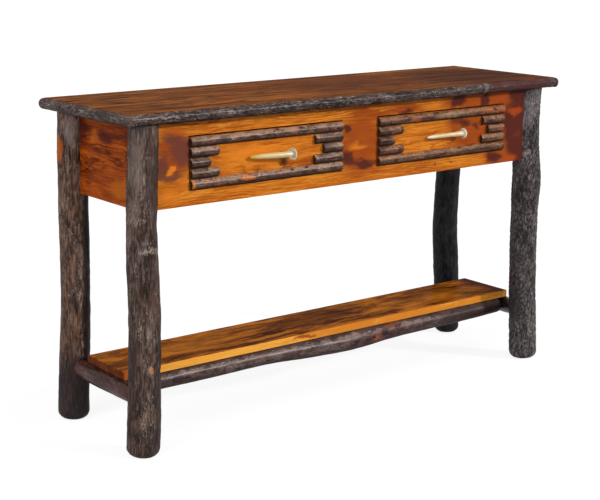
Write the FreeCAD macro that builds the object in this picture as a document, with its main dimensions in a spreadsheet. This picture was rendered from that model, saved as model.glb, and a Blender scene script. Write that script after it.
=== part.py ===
import FreeCAD, Part
import os
import re

# A rustic sofa table: hickory logs with the bark on, stained boards and two drawers.
# The frame of reference stands on the floor under the middle of the table: X runs along
# the length, Y to the back and Z up, so the drawers open towards -Y.

SIZES = {
    # board top and the half-round strips round it
    "top_length": 1303.0,
    "top_depth": 398.0,
    "table_height": 762.0,
    "top_thick": 22.0,
    "strip_radius": 13.0,
    "strip_depth": 12.0,
    # legs, set in from the top's edge to their middles
    "leg_radius": 36.6,
    "leg_inset_x": 48.5,
    "leg_inset_y": 44.2,
    # aprons and face frame, set in from the top's edge to their outer faces
    "front_overhang": 34.0,
    "rear_overhang": 59.0,
    "side_overhang": 51.5,
    "apron_thick": 20.0,
    "apron_height": 190.4,
    "apron_short_of_leg": 19.0,
    "apron_end_gap": 5.0,
    "top_rail_height": 36.9,
    "bottom_rail_height": 32.3,
    "centre_stile_width": 107.2,
    "end_stile_width": 104.4,
    "frame_tenon_thick": 6.0,
    "frame_tenon_long": 15.0,
    "frame_tenon_shoulder": 10.0,
    # cleats, runners, kickers and stops under the top
    "cleat_width": 20.0,
    "cleat_height": 30.0,
    "cleat_end_gap": 35.0,
    "guide_thick": 15.0,
    "guide_height": 35.0,
    "ledge_width": 18.0,
    "ledge_thick": 25.0,
    "tongue_thick": 10.0,
    "tongue_long": 8.0,
    "kicker_width": 30.0,
    "stop_long": 20.0,
    "stop_high": 18.0,
    "stop_wide": 16.0,
    # shelf, and the stretchers and poles that carry it
    "shelf_thick": 19.0,
    "shelf_top": 172.5,
    "shelf_ease": 1.5,
    "shelf_past_stretcher": 2.0,
    "shelf_short_of_stretcher": 28.3,
    "pole_flat": 0.6,
    "stretcher_radius": 22.5,
    "stretcher_neck": 7.2,
    "stretcher_tenon_radius": 13.0,
    "stretcher_tenon_short": 8.8,
    "pole_radius": 21.0,
    "pole_inset": 10.7,
    "pole_neck": 3.5,
    "pole_tenon_radius": 10.0,
    "pole_tenon_short": 7.0,
    # drawers
    "drawer_side_gap": 2.5,
    "drawer_top_gap": 3.0,
    "drawer_bottom_gap": 1.5,
    "drawer_front_thick": 20.0,
    "drawer_side_thick": 12.0,
    "drawer_side_drop": 2.0,
    "drawer_back_inset": 8.0,
    "panel_thick": 6.0,
    "panel_rise": 10.0,
    "groove_deep": 5.0,
    "tail_long": 13.0,
    "tail_wide": 22.0,
    "tail_root": 17.0,
    # twigs and antler pulls
    "twig_proud": 11.0,
    "twig_gap": 0.6,
    "twig_long": 75.0,
    "twig_short": 52.0,
    "pull_length": 116.0,
    "pull_tip_offset": 58.0,
    "pull_girth": 9.0,
    "pull_standoff": 19.5,
    "pull_flat": 1.0,
    "post_radius": 4.5,
    "post_from_crown": 22.0,
    "pull_screw_radius": 2.0,
    "pull_screw_head_radius": 4.2,
    "pull_screw_head_thick": 2.5,
    "pull_screw_bite": 8.0,
    # wood screws
    "screw_radius": 2.5,
    "screw_head_radius": 4.6,
    "screw_head_thick": 3.0,
    "screw_bite": 13.0,
    "top_screw_long": 40.0,
    "shelf_screw_long": 44.0,
    "stretcher_screw_offset": 34.0,
    "stretcher_screw_inset": 4.4,
    "pole_screw_from_end": 187.0,
    # clearances
    "joint_gap": 0.1,
    "slide_gap": 0.3,
    "guide_gap": 0.5,
    "kick_gap": 1.5,
    # how far a cutter runs past what it cuts
    "overrun": 40.0,
}

# Places that follow from the sizes, measured from the middle of the table or from the floor
FOLLOWS = {
    "under_top": "(table_height - top_thick)",
    "leg_centre_x": "(top_length / 2 - leg_inset_x)",
    "leg_centre_y": "(top_depth / 2 - leg_inset_y)",
    "apron_front": "(top_depth / 2 - front_overhang)",
    "apron_back": "(top_depth / 2 - rear_overhang)",
    "apron_side": "(top_length / 2 - side_overhang)",
    "apron_reach": "(leg_centre_x - apron_short_of_leg)",
    "apron_foot": "(under_top - apron_height)",
    "frame_back": "(apron_thick - apron_front)",
    "rear_face": "(apron_back - apron_thick)",
    "side_foot": "(frame_back + apron_end_gap)",
    "side_head": "(rear_face - apron_end_gap)",
    "opening_near": "(centre_stile_width / 2)",
    "opening_far": "(apron_reach - end_stile_width)",
    "opening_mid": "((opening_near + opening_far) / 2)",
    "opening_foot": "(apron_foot + bottom_rail_height)",
    "opening_head": "(under_top - top_rail_height)",
    "tongue_mid": "(opening_foot - ledge_thick / 2)",
    "shelf_foot": "(shelf_top - shelf_thick)",
    "stretcher_reach": "(leg_centre_y - leg_radius - stretcher_neck)",
    "stretcher_tenon_reach": "(leg_centre_y - stretcher_tenon_short)",
    "stretcher_axis": "(shelf_foot + pole_flat - stretcher_radius)",
    "shelf_length": "(2 * (leg_centre_x + shelf_past_stretcher))",
    "shelf_depth": "(2 * (stretcher_reach - shelf_short_of_stretcher))",
    "pole_reach": "(leg_centre_x - stretcher_radius - pole_neck)",
    "pole_tenon_reach": "(leg_centre_x - pole_tenon_short)",
    "pole_offset": "(shelf_depth / 2 - pole_inset)",
    "pole_axis": "(shelf_foot + pole_flat - pole_radius)",
    "pole_screw_offset": "(pole_reach - pole_screw_from_end)",
    "top_screw_tip": "(under_top + screw_bite)",
    "shelf_screw_tip": "(shelf_foot + screw_bite)",
    "box_foot": "(opening_foot + slide_gap)",
    "box_head": "(opening_head - drawer_top_gap - drawer_side_drop)",
    "box_back": "(rear_face - stop_long - slide_gap)",
    "front_foot": "(opening_foot + drawer_bottom_gap)",
    "front_head": "(opening_head - drawer_top_gap)",
    "front_half": "((opening_far - opening_near) / 2 - drawer_side_gap)",
    "front_back": "(drawer_front_thick - apron_front)",
    "panel_foot": "(box_foot + panel_rise)",
    "panel_head": "(panel_foot + panel_thick)",
    "panel_half": "(front_half - drawer_side_thick + groove_deep - joint_gap)",
    "pull_z": "((front_foot + front_head) / 2)",
}

# The crooked logs of the legs. Each row gives the height as a share of the leg's length, how far
# the middle of the log stands off to +X and to +Y, and its radius, as shares of the leg radius.
leg_shares = {
    ("front", "left"): (
        (0.00, -0.03, 0.04, 0.86), (0.01, -0.03, 0.04, 1.02), (0.12, 0.06, -0.05, 1.02),
        (0.25, 0.13, -0.07, 0.99), (0.42, 0.20, -0.13, 0.97), (0.57, 0.18, -0.07, 0.96),
        (0.70, 0.19, -0.02, 0.92), (0.80, 0.27, -0.04, 0.92), (0.90, 0.38, -0.03, 0.92),
        (1.00, 0.50, 0.05, 0.90),
    ),
    ("rear", "left"): (
        (0.00, -0.11, 0.09, 0.86), (0.01, -0.11, 0.09, 1.02), (0.13, -0.03, -0.01, 1.00),
        (0.26, 0.08, -0.11, 0.98), (0.39, 0.14, -0.25, 0.94), (0.52, 0.14, -0.33, 0.95),
        (0.65, 0.11, -0.41, 0.95), (0.80, 0.06, -0.56, 0.94), (0.90, 0.04, -0.68, 0.94),
        (1.00, 0.08, -0.75, 0.94),
    ),
    ("front", "right"): (
        (0.00, -0.03, 0.04, 0.86), (0.01, -0.03, 0.04, 1.02), (0.14, -0.14, 0.11, 1.00),
        (0.28, -0.25, 0.16, 0.99), (0.45, -0.33, 0.17, 0.98), (0.58, -0.36, 0.16, 1.00),
        (0.66, -0.33, 0.12, 1.04), (0.74, -0.40, 0.15, 0.99), (0.82, -0.49, 0.21, 0.97),
        (0.90, -0.52, 0.22, 0.98), (1.00, -0.44, 0.17, 0.98),
    ),
    ("rear", "right"): (
        (0.00, 0.08, -0.09, 0.82), (0.01, 0.08, -0.09, 0.96), (0.14, 0.03, -0.03, 0.97),
        (0.28, -0.08, 0.05, 0.99), (0.42, -0.19, 0.14, 0.96), (0.56, -0.16, 0.07, 0.93),
        (0.72, -0.16, -0.14, 0.93), (0.86, -0.16, -0.36, 0.94), (1.00, -0.16, -0.55, 0.94),
    ),
}
# Poles under the shelf, from left to right: place along the length, bow to the back, drop of the
# middle below the shelf and radius, as shares.
front_pole_shares = (
    (0.000, 0.00, -0.97, 0.70), (0.006, 0.00, -0.97, 0.97), (0.07, 0.02, -1.00, 1.00),
    (0.16, 0.05, -1.02, 1.02), (0.32, 0.00, -0.98, 0.98), (0.42, -0.08, -1.12, 1.12),
    (0.55, -0.14, -1.24, 1.24), (0.68, -0.06, -1.08, 1.08), (0.84, 0.02, -1.07, 1.07),
    (0.94, 0.00, -1.02, 1.02), (0.994, 0.00, -0.97, 0.97), (1.000, 0.00, -0.97, 0.70),
)
rear_pole_shares = (
    (0.000, 0.00, -0.97, 0.70), (0.006, 0.00, -0.97, 0.97), (0.20, 0.08, -1.03, 1.03),
    (0.40, 0.12, -1.00, 1.00), (0.60, -0.05, -1.05, 1.05), (0.80, -0.10, -1.00, 1.00),
    (0.994, 0.00, -0.97, 0.97), (1.000, 0.00, -0.97, 0.70),
)
# Side stretchers: place from front to rear, bow to the right, and radius, as shares.
stretcher_shares = (
    (0.00, 0.00, 0.64), (0.035, 0.00, 0.94), (0.30, 0.04, 1.00), (0.65, -0.03, 1.02),
    (0.965, 0.00, 0.95), (1.00, 0.00, 0.64),
)
# Half-round strips of the top's edge: place along the length and radius, as shares. The side
# strips end in rounded cuts.
strip_shares = ((0.00, 0.97), (0.22, 1.00), (0.45, 0.98), (0.70, 1.00), (1.00, 0.96))
side_strip_shares = (
    (0.000, 0.62), (0.015, 0.97), (0.30, 1.00), (0.65, 0.98), (0.985, 0.97), (1.000, 0.62),
)
twig_shares = ((0.00, 0.97), (0.50, 1.00), (1.00, 0.95))
# Twigs of the three short rows, counted from the top: outer twigs at the left and at the right
# end of the drawer, each as a share of the long or short twig's length.
twig_row_shares = {
    "left": (("twig_long", 0.96, 1.07), ("twig_short", 0.94, 1.08), ("twig_long", 0.95, 1.10)),
    "right": (("twig_long", 1.00, 1.01), ("twig_short", 0.93, 1.09), ("twig_long", 1.02, 1.05)),
}
# Antler tines from the tip to the flared crown: place along the length, stand-off, rise and girth.
pull_shares = {
    "left": (
        (0.00, 0.50, 0.06, 0.26), (0.10, 0.56, 0.05, 0.52), (0.28, 0.70, 0.03, 0.68),
        (0.55, 0.90, 0.00, 0.78), (0.92, 1.00, -0.10, 0.92), (0.95, 1.00, -0.12, 1.46),
        (1.00, 1.00, -0.13, 1.42),
    ),
    "right": (
        (0.00, 0.48, -0.28, 0.26), (0.12, 0.54, -0.24, 0.46), (0.30, 0.70, -0.14, 0.57),
        (0.65, 0.94, -0.02, 0.64), (0.92, 1.00, 0.00, 0.90), (0.95, 1.00, 0.00, 1.34),
        (1.00, 1.00, 0.00, 1.28),
    ),
}
# How far behind its middle each tine is filed flat for the post, as a share of its girth.
seat_shares = {"left": 0.72, "right": 0.62}

# How many sides the rings of each kind of log have, and the round pegs
LEG_SIDES = 18
POLE_SIDES = 14
TWIG_SIDES = 10
PULL_SIDES = 10
TENON_SIDES = 16
SCREW_SIDES = 12
# Rows of twigs on a drawer front, and dovetails at each of its ends
TWIG_ROWS = 5
TAILS = 4

TABLE_SIDES = {"left": -1, "right": 1}
TABLE_ENDS = {"front": -1, "rear": 1}

doc = FreeCAD.newDocument("hickory_table")
sheet = doc.addObject("Spreadsheet::Sheet", "Dims")
for row, (word, size) in enumerate(SIZES.items(), start=1):
    sheet.set("A%d" % row, word)
    sheet.set("B%d" % row, str(size))
    sheet.setAlias("B%d" % row, word)
doc.recompute()

PARTS = {}
AXES = ("x", "y", "z")
# turns a shape that is drawn up Z so that it lies along the named axis
LIE = {
    "x": FreeCAD.Rotation(FreeCAD.Vector(0, 1, 0), 90),
    "y": FreeCAD.Rotation(FreeCAD.Vector(1, 0, 0), -90),
    "z": FreeCAD.Rotation(),
}
# where a log's seam lies round it, away from every flat and hole
SEAM_TURN = FreeCAD.Rotation(FreeCAD.Vector(0, 0, 1), 52)


def bound(text):
    """A sum in words, with each word pointed at the sheet or worked out from what it follows."""
    def pointed(found):
        word = found.group()
        return bound(FOLLOWS[word]) if word in FOLLOWS else "Dims." + word
    return re.sub("[a-z][a-z_]*", pointed, str(text))


def bind(thing, prop, text):
    thing.setExpression(prop, bound(text))


def place(thing, sums):
    for axis, text in zip(AXES, sums):
        bind(thing, ".Placement.Base." + axis, text)


def node(name, thing):
    """Gives a finished sub-part its name and lists it for writing."""
    thing.Label = name
    PARTS[name] = thing
    return thing


def span(side, near, far):
    """A stretch of an axis on one side of the middle, from the sums for its two ends."""
    if side > 0:
        return near, far
    return "-(%s)" % far, "-(%s)" % near


def half(text):
    """A stretch that is centred on the middle."""
    return "-(%s) / 2" % text, "(%s) / 2" % text


def block(name, x, y, z):
    """A square board, from the low and high sums on each axis."""
    box = doc.addObject("Part::Box", name)
    place(box, (x[0], y[0], z[0]))
    for prop, (low, high) in zip(("Length", "Width", "Height"), (x, y, z)):
        bind(box, prop, "(%s) - (%s)" % (high, low))
    return box


def peg(name, sides, along, radius, length, start):
    """A turned peg along one axis, from the point that the three sums of start give."""
    rod = doc.addObject("Part::Prism", name)
    rod.Polygon = sides
    rod.Placement = FreeCAD.Placement(FreeCAD.Vector(), LIE[along])
    place(rod, start)
    bind(rod, "Circumradius", radius)
    bind(rod, "Height", length)
    return rod


def joined(name, pieces):
    fused = doc.addObject("Part::MultiFuse", name)
    fused.Shapes = pieces
    fused.Refine = True
    return fused


def grouped(name, pieces):
    """Separate solids that are one kind of piece, kept in one sub-part."""
    group = doc.addObject("Part::Compound", name)
    group.Links = pieces
    return group


def cut(name, base, cutters):
    result = doc.addObject("Part::Cut", name)
    result.Base = base
    result.Tool = cutters[0] if len(cutters) == 1 else grouped(name + "_cutters", cutters)
    return result


def log(name, sides, along, start, length, girth, stations):
    """A natural pole: a skin through many-sided rings whose middle wanders and radius swells. Each
    station gives its place along the pole, the wander on the two other axes and the radius."""
    rings = []
    others = [axis for axis in AXES if axis != along]
    for number, (at_share, first_share, second_share, girth_share) in enumerate(stations):
        ring = doc.addObject("Part::RegularPolygon", "%s_ring_%d" % (name, number))
        ring.Polygon = sides
        ring.Placement = FreeCAD.Placement(FreeCAD.Vector(), LIE[along] * SEAM_TURN)
        bind(ring, "Circumradius", "%s * %s" % (girth, girth_share))
        moves = {along: "%s * %s" % (length, at_share),
                 others[0]: "%s * %s" % (girth, first_share),
                 others[1]: "%s * %s" % (girth, second_share)}
        place(ring, ["%s + %s" % (low, moves[axis]) for low, axis in zip(start, AXES)])
        rings.append(ring)
    skin = doc.addObject("Part::Loft", name)
    skin.Sections = rings
    skin.Solid = True
    skin.Ruled = True
    return skin


def screw(name, length, tip):
    """An upright wood screw, whose point is at tip and whose round head is below."""
    x, y, z = tip
    shank = peg(name + "_shank", SCREW_SIDES, "z", "screw_radius", length, (x, y, "%s - %s" % (z, length)))
    head = peg(name + "_head", SCREW_SIDES, "z", "screw_head_radius", "screw_head_thick",
               (x, y, "%s - %s - screw_head_thick" % (z, length)))
    return joined(name, [shank, head])


def screw_hole(name, length, tip):
    """The shank's hole and the sunk hole for the head, which runs out past the wood."""
    x, y, z = tip
    drill = peg(name + "_drill", SCREW_SIDES, "z", "(screw_radius + joint_gap)", "%s + joint_gap" % length,
                (x, y, "%s - %s" % (z, length)))
    sink = peg(name + "_sink", SCREW_SIDES, "z", "(screw_head_radius + joint_gap)", "overrun",
               (x, y, "%s - %s - overrun" % (z, length)))
    return joined(name, [drill, sink])


# Where the upright screws stand: through the cleats and kickers into the top, and through the
# stretchers and poles into the shelf
top_screw_places = {}
shelf_screw_places = {}
for side_name, side in TABLE_SIDES.items():
    cleat_x = "%d * (apron_side - apron_thick - cleat_width / 2)" % side
    top_screw_places["cleat_%s_front" % side_name] = (cleat_x, "side_foot + cleat_end_gap + cleat_width")
    top_screw_places["cleat_%s_rear" % side_name] = (cleat_x, "side_head - cleat_end_gap - cleat_width")
    top_screw_places["kicker_%s" % side_name] = ("%d * opening_mid" % side, "0")
    shelf_screw_places["stretcher_%s" % side_name] = (
        "%d * (leg_centre_x - stretcher_screw_inset)" % side, "-stretcher_screw_offset")
    for end_name, end in TABLE_ENDS.items():
        shelf_screw_places["pole_%s_%s" % (end_name, side_name)] = (
            "%d * pole_screw_offset" % side, "%d * pole_offset" % end)


# The length of the top's and of the shelf's screws, and the height of their points
screw_sizes = {
    "top": ("top_screw_long", "top_screw_tip"),
    "shelf": ("shelf_screw_long", "shelf_screw_tip"),
}


def screw_holes(owner, kind, places):
    """The holes that one sub-part has for the top's or the shelf's screws at the given places."""
    length, tip = screw_sizes[kind]
    return [screw_hole("%s_hole_%s" % (owner, name), length, (x, y, tip))
            for name, (x, y) in places.items()]


def screw_set(kind, places):
    length, tip = screw_sizes[kind]
    name = kind + "_screws"
    return node(name, grouped(name, [screw("%s_screw_%s" % (kind, place_name), length, (x, y, tip))
                                     for place_name, (x, y) in places.items()]))


def named(places, start):
    return {name: at for name, at in places.items() if name.startswith(start)}


# Board top: one glued-up board, with pilot holes underneath for the screws that hold it.
board = block("top_board", half("top_length - 2 * strip_depth"), half("top_depth - 2 * strip_depth"),
              ("under_top", "table_height"))
node("tabletop", cut("tabletop", board, screw_holes("top", "top", top_screw_places)))

# Half-round hickory strips, sawn flat at the back and glued to the edges of the board. The side
# strips run the full depth, and the front and rear ones fit between them.
strip_height = "(table_height - strip_radius)"
for end_name, end in TABLE_ENDS.items():
    sapling = log("strip_%s_sapling" % end_name, POLE_SIDES, "x",
                  ("-top_length / 2 + strip_depth", "%d * (top_depth / 2 - strip_radius)" % end,
                   strip_height),
                  "(top_length - 2 * strip_depth)", "strip_radius",
                  [(at, 0, 0, girth) for at, girth in strip_shares])
    saw = block("strip_%s_saw" % end_name, half("top_length"),
                span(end, "top_depth / 2 - strip_depth - overrun", "top_depth / 2 - strip_depth"),
                ("under_top - overrun", "table_height + overrun"))
    node("edge_strip_" + end_name, cut("edge_strip_" + end_name, sapling, [saw]))
for side_name, side in TABLE_SIDES.items():
    sapling = log("strip_%s_sapling" % side_name, POLE_SIDES, "y",
                  ("%d * (top_length / 2 - strip_radius)" % side, "-top_depth / 2", strip_height),
                  "top_depth", "strip_radius",
                  [(at, 0, 0, girth) for at, girth in side_strip_shares])
    saw = block("strip_%s_saw" % side_name,
                span(side, "top_length / 2 - strip_depth - overrun", "top_length / 2 - strip_depth"),
                half("(top_depth + overrun)"), ("under_top - overrun", "table_height + overrun"))
    node("edge_strip_" + side_name, cut("edge_strip_" + side_name, sapling, [saw]))

# Legs: crooked hickory logs with rounded feet. Each has a housing for the front or rear apron and
# one for the side apron, sawn down from its top, and a round mortise for the side stretcher.
housing_z = ("apron_foot - joint_gap", "under_top + overrun")
for (end_name, side_name), stations in leg_shares.items():
    end = TABLE_ENDS[end_name]
    side = TABLE_SIDES[side_name]
    name = "leg_%s_%s" % (end_name, side_name)
    trunk = log(name + "_trunk", LEG_SIDES, "z",
                ("%d * leg_centre_x" % side, "%d * leg_centre_y" % end, "0"),
                "under_top", "leg_radius", stations)
    face = "apron_front" if end < 0 else "apron_back"
    long_housing = block(name + "_long_housing",
                         span(side, "apron_reach - leg_radius - overrun", "apron_reach + joint_gap"),
                         span(end, face + " - apron_thick - joint_gap", face + " + joint_gap"),
                         housing_z)
    reach_y = ("side_foot - joint_gap", "0") if end < 0 else ("0", "side_head + joint_gap")
    side_housing = block(name + "_side_housing",
                         span(side, "apron_side - apron_thick - joint_gap", "apron_side + joint_gap"),
                         reach_y, housing_z)
    low = "-(stretcher_tenon_reach + joint_gap)" if end < 0 else "0"
    mortise = peg(name + "_mortise", TENON_SIDES, "y", "(stretcher_tenon_radius + joint_gap)",
                  "(stretcher_tenon_reach + joint_gap)",
                  ("%d * leg_centre_x" % side, low, "stretcher_axis"))
    node(name, cut(name, trunk, [long_housing, side_housing, mortise]))

# Face frame: two rails and three stiles, with stub tenons in the rails. It is open for the drawers,
# and the bottom rail has a mortise behind for each runner's tongue.
frame_y = ("-apron_front", "frame_back")
rail_x = ("-apron_reach", "apron_reach")
stile_places = {
    "centre": ("-opening_near", "opening_near"),
    "left": span(-1, "opening_far", "apron_reach"),
    "right": span(1, "opening_far", "apron_reach"),
}


def frame_tenon(name, place_x, foot, head, gap=""):
    """A stub tenon on a stile, or with a gap the mortise that takes it."""
    thick = "(frame_tenon_thick / 2%s)" % gap
    return block(name,
                 ("%s + frame_tenon_shoulder - (0%s)" % (place_x[0], gap),
                  "%s - frame_tenon_shoulder%s" % (place_x[1], gap)),
                 ("-apron_front + apron_thick / 2 - " + thick, "-apron_front + apron_thick / 2 + " + thick),
                 (foot, head))


def guide_span(side, inner):
    """Where a runner's guide stands, for the drawer on one side and its inner or outer end."""
    if inner:
        edge = "opening_near + drawer_side_gap - guide_gap"
        return span(side, edge + " - guide_thick", edge)
    edge = "opening_far - drawer_side_gap + guide_gap"
    return span(side, edge, edge + " + guide_thick")


def ledge_span(side, inner):
    """The same for the ledge that the drawer's side slides on."""
    if inner:
        edge = "opening_near + drawer_side_gap - guide_gap"
        return span(side, edge, edge + " + ledge_width")
    edge = "opening_far - drawer_side_gap + guide_gap"
    return span(side, edge + " - ledge_width", edge)


def runner_tongue(name, ledge_x, back, gap=""):
    """The tongue on one end of a runner, or with a gap the mortise that takes it."""
    if back:
        reach_y = ("rear_face", "rear_face + tongue_long" + gap)
    else:
        reach_y = ("frame_back - tongue_long - (0%s)" % gap, "frame_back")
    thick = "(tongue_thick / 2%s)" % gap
    return block(name, ("%s - (0%s)" % (ledge_x[0], gap), ledge_x[1] + gap), reach_y,
                 ("tongue_mid - " + thick, "tongue_mid + " + thick))


gap = " + joint_gap"
runner_places = {"%s_%s" % (side_name, row): (side, row == "inner")
                 for side_name, side in TABLE_SIDES.items() for row in ("outer", "inner")}
top_mortises = []
bottom_mortises = []
rear_mortises = []
for stile_name, place_x in stile_places.items():
    name = "face_stile_" + stile_name
    stile = block(name + "_board", place_x, frame_y, ("opening_foot", "opening_head"))
    upper = frame_tenon(name + "_upper", place_x, "opening_head", "opening_head + frame_tenon_long")
    lower = frame_tenon(name + "_lower", place_x, "opening_foot - frame_tenon_long", "opening_foot")
    node(name, joined(name, [stile, upper, lower]))
    top_mortises.append(frame_tenon(name + "_top_mortise", place_x, "opening_head",
                                    "opening_head + frame_tenon_long" + gap, gap))
    bottom_mortises.append(frame_tenon(name + "_bottom_mortise", place_x,
                                       "opening_foot - frame_tenon_long - joint_gap", "opening_foot", gap))
for place_name, (side, inner) in runner_places.items():
    ledge_x = ledge_span(side, inner)
    bottom_mortises.append(runner_tongue("tongue_%s_front_mortise" % place_name, ledge_x, False, gap))
    rear_mortises.append(runner_tongue("tongue_%s_rear_mortise" % place_name, ledge_x, True, gap))
top_rail = block("top_rail_board", rail_x, frame_y, ("opening_head", "under_top"))
node("face_rail_top", cut("face_rail_top", top_rail, top_mortises))
bottom_rail = block("bottom_rail_board", rail_x, frame_y, ("apron_foot", "opening_foot"))
node("face_rail_bottom", cut("face_rail_bottom", bottom_rail, bottom_mortises))

# Side aprons, and the rear apron with a mortise in front for each runner's other tongue.
apron_z = ("apron_foot", "under_top")
for side_name, side in TABLE_SIDES.items():
    name = "apron_" + side_name
    node(name, block(name, span(side, "apron_side - apron_thick", "apron_side"),
                     ("side_foot", "side_head"), apron_z))
rear_board = block("rear_board", rail_x, ("rear_face", "apron_back"), apron_z)
node("apron_rear", cut("apron_rear", rear_board, rear_mortises))

# Drawer runners: L-shaped, a ledge under the drawer's side and a guide beside it, with a tongue
# in the bottom rail and one in the rear apron. A stop block sits on each ledge.
runner_y = ("frame_back", "rear_face")
stop_blocks = []
for place_name, (side, inner) in runner_places.items():
    name = "runner_" + place_name
    ledge_x = ledge_span(side, inner)
    guide = block(name + "_guide", guide_span(side, inner), runner_y,
                  ("opening_foot - ledge_thick", "opening_foot + guide_height"))
    ledge = block(name + "_ledge", ledge_x, runner_y, ("opening_foot - ledge_thick", "opening_foot"))
    tongues = [runner_tongue(name + "_front_tongue", ledge_x, False),
               runner_tongue(name + "_rear_tongue", ledge_x, True)]
    node(name, joined(name, [guide, ledge] + tongues))
    middle = "(%s + %s) / 2" % ledge_x
    stop_blocks.append(block("stop_" + place_name, (middle + " - stop_wide / 2", middle + " + stop_wide / 2"),
                             ("rear_face - stop_long", "rear_face"),
                             ("opening_foot", "opening_foot + stop_high")))
node("drawer_stops", grouped("drawer_stops", stop_blocks))

# Kickers over the middle of each drawer, and cleats inside the side aprons. The screws that hold
# the top go up through them.
for side_name, side in TABLE_SIDES.items():
    middle = "%d * opening_mid" % side
    name = "kicker_" + side_name
    kicker = block(name + "_stick", (middle + " - kicker_width / 2", middle + " + kicker_width / 2"),
                   runner_y, ("box_head + kick_gap", "under_top"))
    node(name, cut(name, kicker, screw_holes(name, "top", named(top_screw_places, name))))
    name = "cleat_" + side_name
    cleat = block(name + "_stick",
                  span(side, "apron_side - apron_thick - cleat_width", "apron_side - apron_thick"),
                  ("side_foot + cleat_end_gap", "side_head - cleat_end_gap"),
                  ("under_top - cleat_height", "under_top"))
    node("top_" + name, cut("top_" + name, cleat, screw_holes(name, "top", named(top_screw_places, name))))
screw_set("top", top_screw_places)

# Side stretchers between the legs, with round tenons in them, and the front and rear poles with
# tenons in the stretchers. All four are planed flat where the shelf lies on them.
plane = block("plane_iron", half("top_length"), half("top_depth"), ("shelf_foot", "shelf_foot + overrun"))
for side_name, side in TABLE_SIDES.items():
    name = "stretcher_" + side_name
    middle = "%d * leg_centre_x" % side
    pole = log(name + "_pole", POLE_SIDES, "y", (middle, "-stretcher_reach", "stretcher_axis"),
               "(2 * stretcher_reach)", "stretcher_radius",
               [(at, bow, 0, girth) for at, bow, girth in stretcher_shares])
    tenon = peg(name + "_tenon", TENON_SIDES, "y", "stretcher_tenon_radius", "2 * stretcher_tenon_reach",
                (middle, "-stretcher_tenon_reach", "stretcher_axis"))
    whole = joined(name + "_whole", [pole, tenon])
    cutters = [plane] + screw_holes(name, "shelf", named(shelf_screw_places, name))
    for end_name, end in TABLE_ENDS.items():
        start = "-(pole_tenon_reach + joint_gap)" if side < 0 else "0"
        cutters.append(peg("%s_mortise_%s" % (name, end_name), TENON_SIDES, "x",
                           "(pole_tenon_radius + joint_gap)", "(pole_tenon_reach + joint_gap)",
                           (start, "%d * pole_offset" % end, "pole_axis")))
    node(name, cut(name, whole, cutters))
for end_name, stations in (("front", front_pole_shares), ("rear", rear_pole_shares)):
    name = "shelf_pole_" + end_name
    middle = "%d * pole_offset" % TABLE_ENDS[end_name]
    pole = log(name + "_pole", POLE_SIDES, "x", ("-pole_reach", middle, "shelf_foot + pole_flat"),
               "(2 * pole_reach)", "pole_radius", stations)
    tenon = peg(name + "_tenon", TENON_SIDES, "x", "pole_tenon_radius", "2 * pole_tenon_reach",
                ("-pole_tenon_reach", middle, "pole_axis"))
    whole = joined(name + "_whole", [pole, tenon])
    holes = screw_holes(name, "shelf", named(shelf_screw_places, "pole_" + end_name))
    node(name, cut(name, whole, [plane] + holes))

# Shelf board with eased edges, screwed from below through the poles.
shelf_body = doc.addObject("PartDesign::Body", "shelf_body")
shelf_board = doc.addObject("PartDesign::AdditiveBox", "shelf_board")
shelf_body.addObject(shelf_board)
place(shelf_board, ("-shelf_length / 2", "-shelf_depth / 2", "shelf_foot"))
bind(shelf_board, "Length", "shelf_length")
bind(shelf_board, "Width", "shelf_depth")
bind(shelf_board, "Height", "shelf_thick")
doc.recompute()
shelf_ease = doc.addObject("PartDesign::Chamfer", "shelf_ease")
shelf_ease.Base = (shelf_board, ["Edge%d" % (number + 1) for number in range(len(shelf_board.Shape.Edges))])
bind(shelf_ease, "Size", "shelf_ease")
shelf_body.addObject(shelf_ease)
node("shelf", cut("shelf", shelf_body, screw_holes("shelf", "shelf", shelf_screw_places)))
screw_set("shelf", shelf_screw_places)

# Drawers. The front is dovetailed to the sides with half-blind tails, the bottom panel slides in
# grooves from behind, and the back stands on it in dadoes.


def tail(name, number, face_x, gap):
    """One dovetail, wide at the front; with a gap it is the socket that takes it."""
    middle = "(box_foot + (box_head - box_foot) * (%d + 1 / 2) / %d)" % (number, TAILS)
    wedge = doc.addObject("Part::Wedge", name)
    low_x, high_x = face_x
    for prop, text in (("Xmin", low_x), ("X2min", low_x), ("Xmax", high_x), ("X2max", high_x),
                       ("Ymin", "front_back - tail_long - " + gap), ("Ymax", "front_back"),
                       ("Zmin", "%s - tail_wide / 2 - %s" % (middle, gap)),
                       ("Zmax", "%s + tail_wide / 2 + %s" % (middle, gap)),
                       ("Z2min", "%s - tail_root / 2 - %s" % (middle, gap)),
                       ("Z2max", "%s + tail_root / 2 + %s" % (middle, gap))):
        bind(wedge, prop, text)
    return wedge


def twig(name, row, low, high):
    """A half-round twig along the drawer front, in a row counted from the top."""
    pitch = "((front_head - front_foot) / %d)" % TWIG_ROWS
    radius = "(%s / 2 - twig_gap / 2)" % pitch
    middle = "(front_head - %s * (%d + 1 / 2))" % (pitch, row)
    branch = log(name + "_branch", TWIG_SIDES, "x", (low, radius + " - apron_front - twig_proud", middle),
                 "((%s) - (%s))" % (high, low), radius, [(at, 0, 0, girth) for at, girth in twig_shares])
    saw = block(name + "_saw", (low + " - overrun", high + " + overrun"),
                ("-apron_front", "-apron_front + overrun"),
                (middle + " - overrun", middle + " + overrun"))
    return cut(name, branch, [saw])


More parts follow.
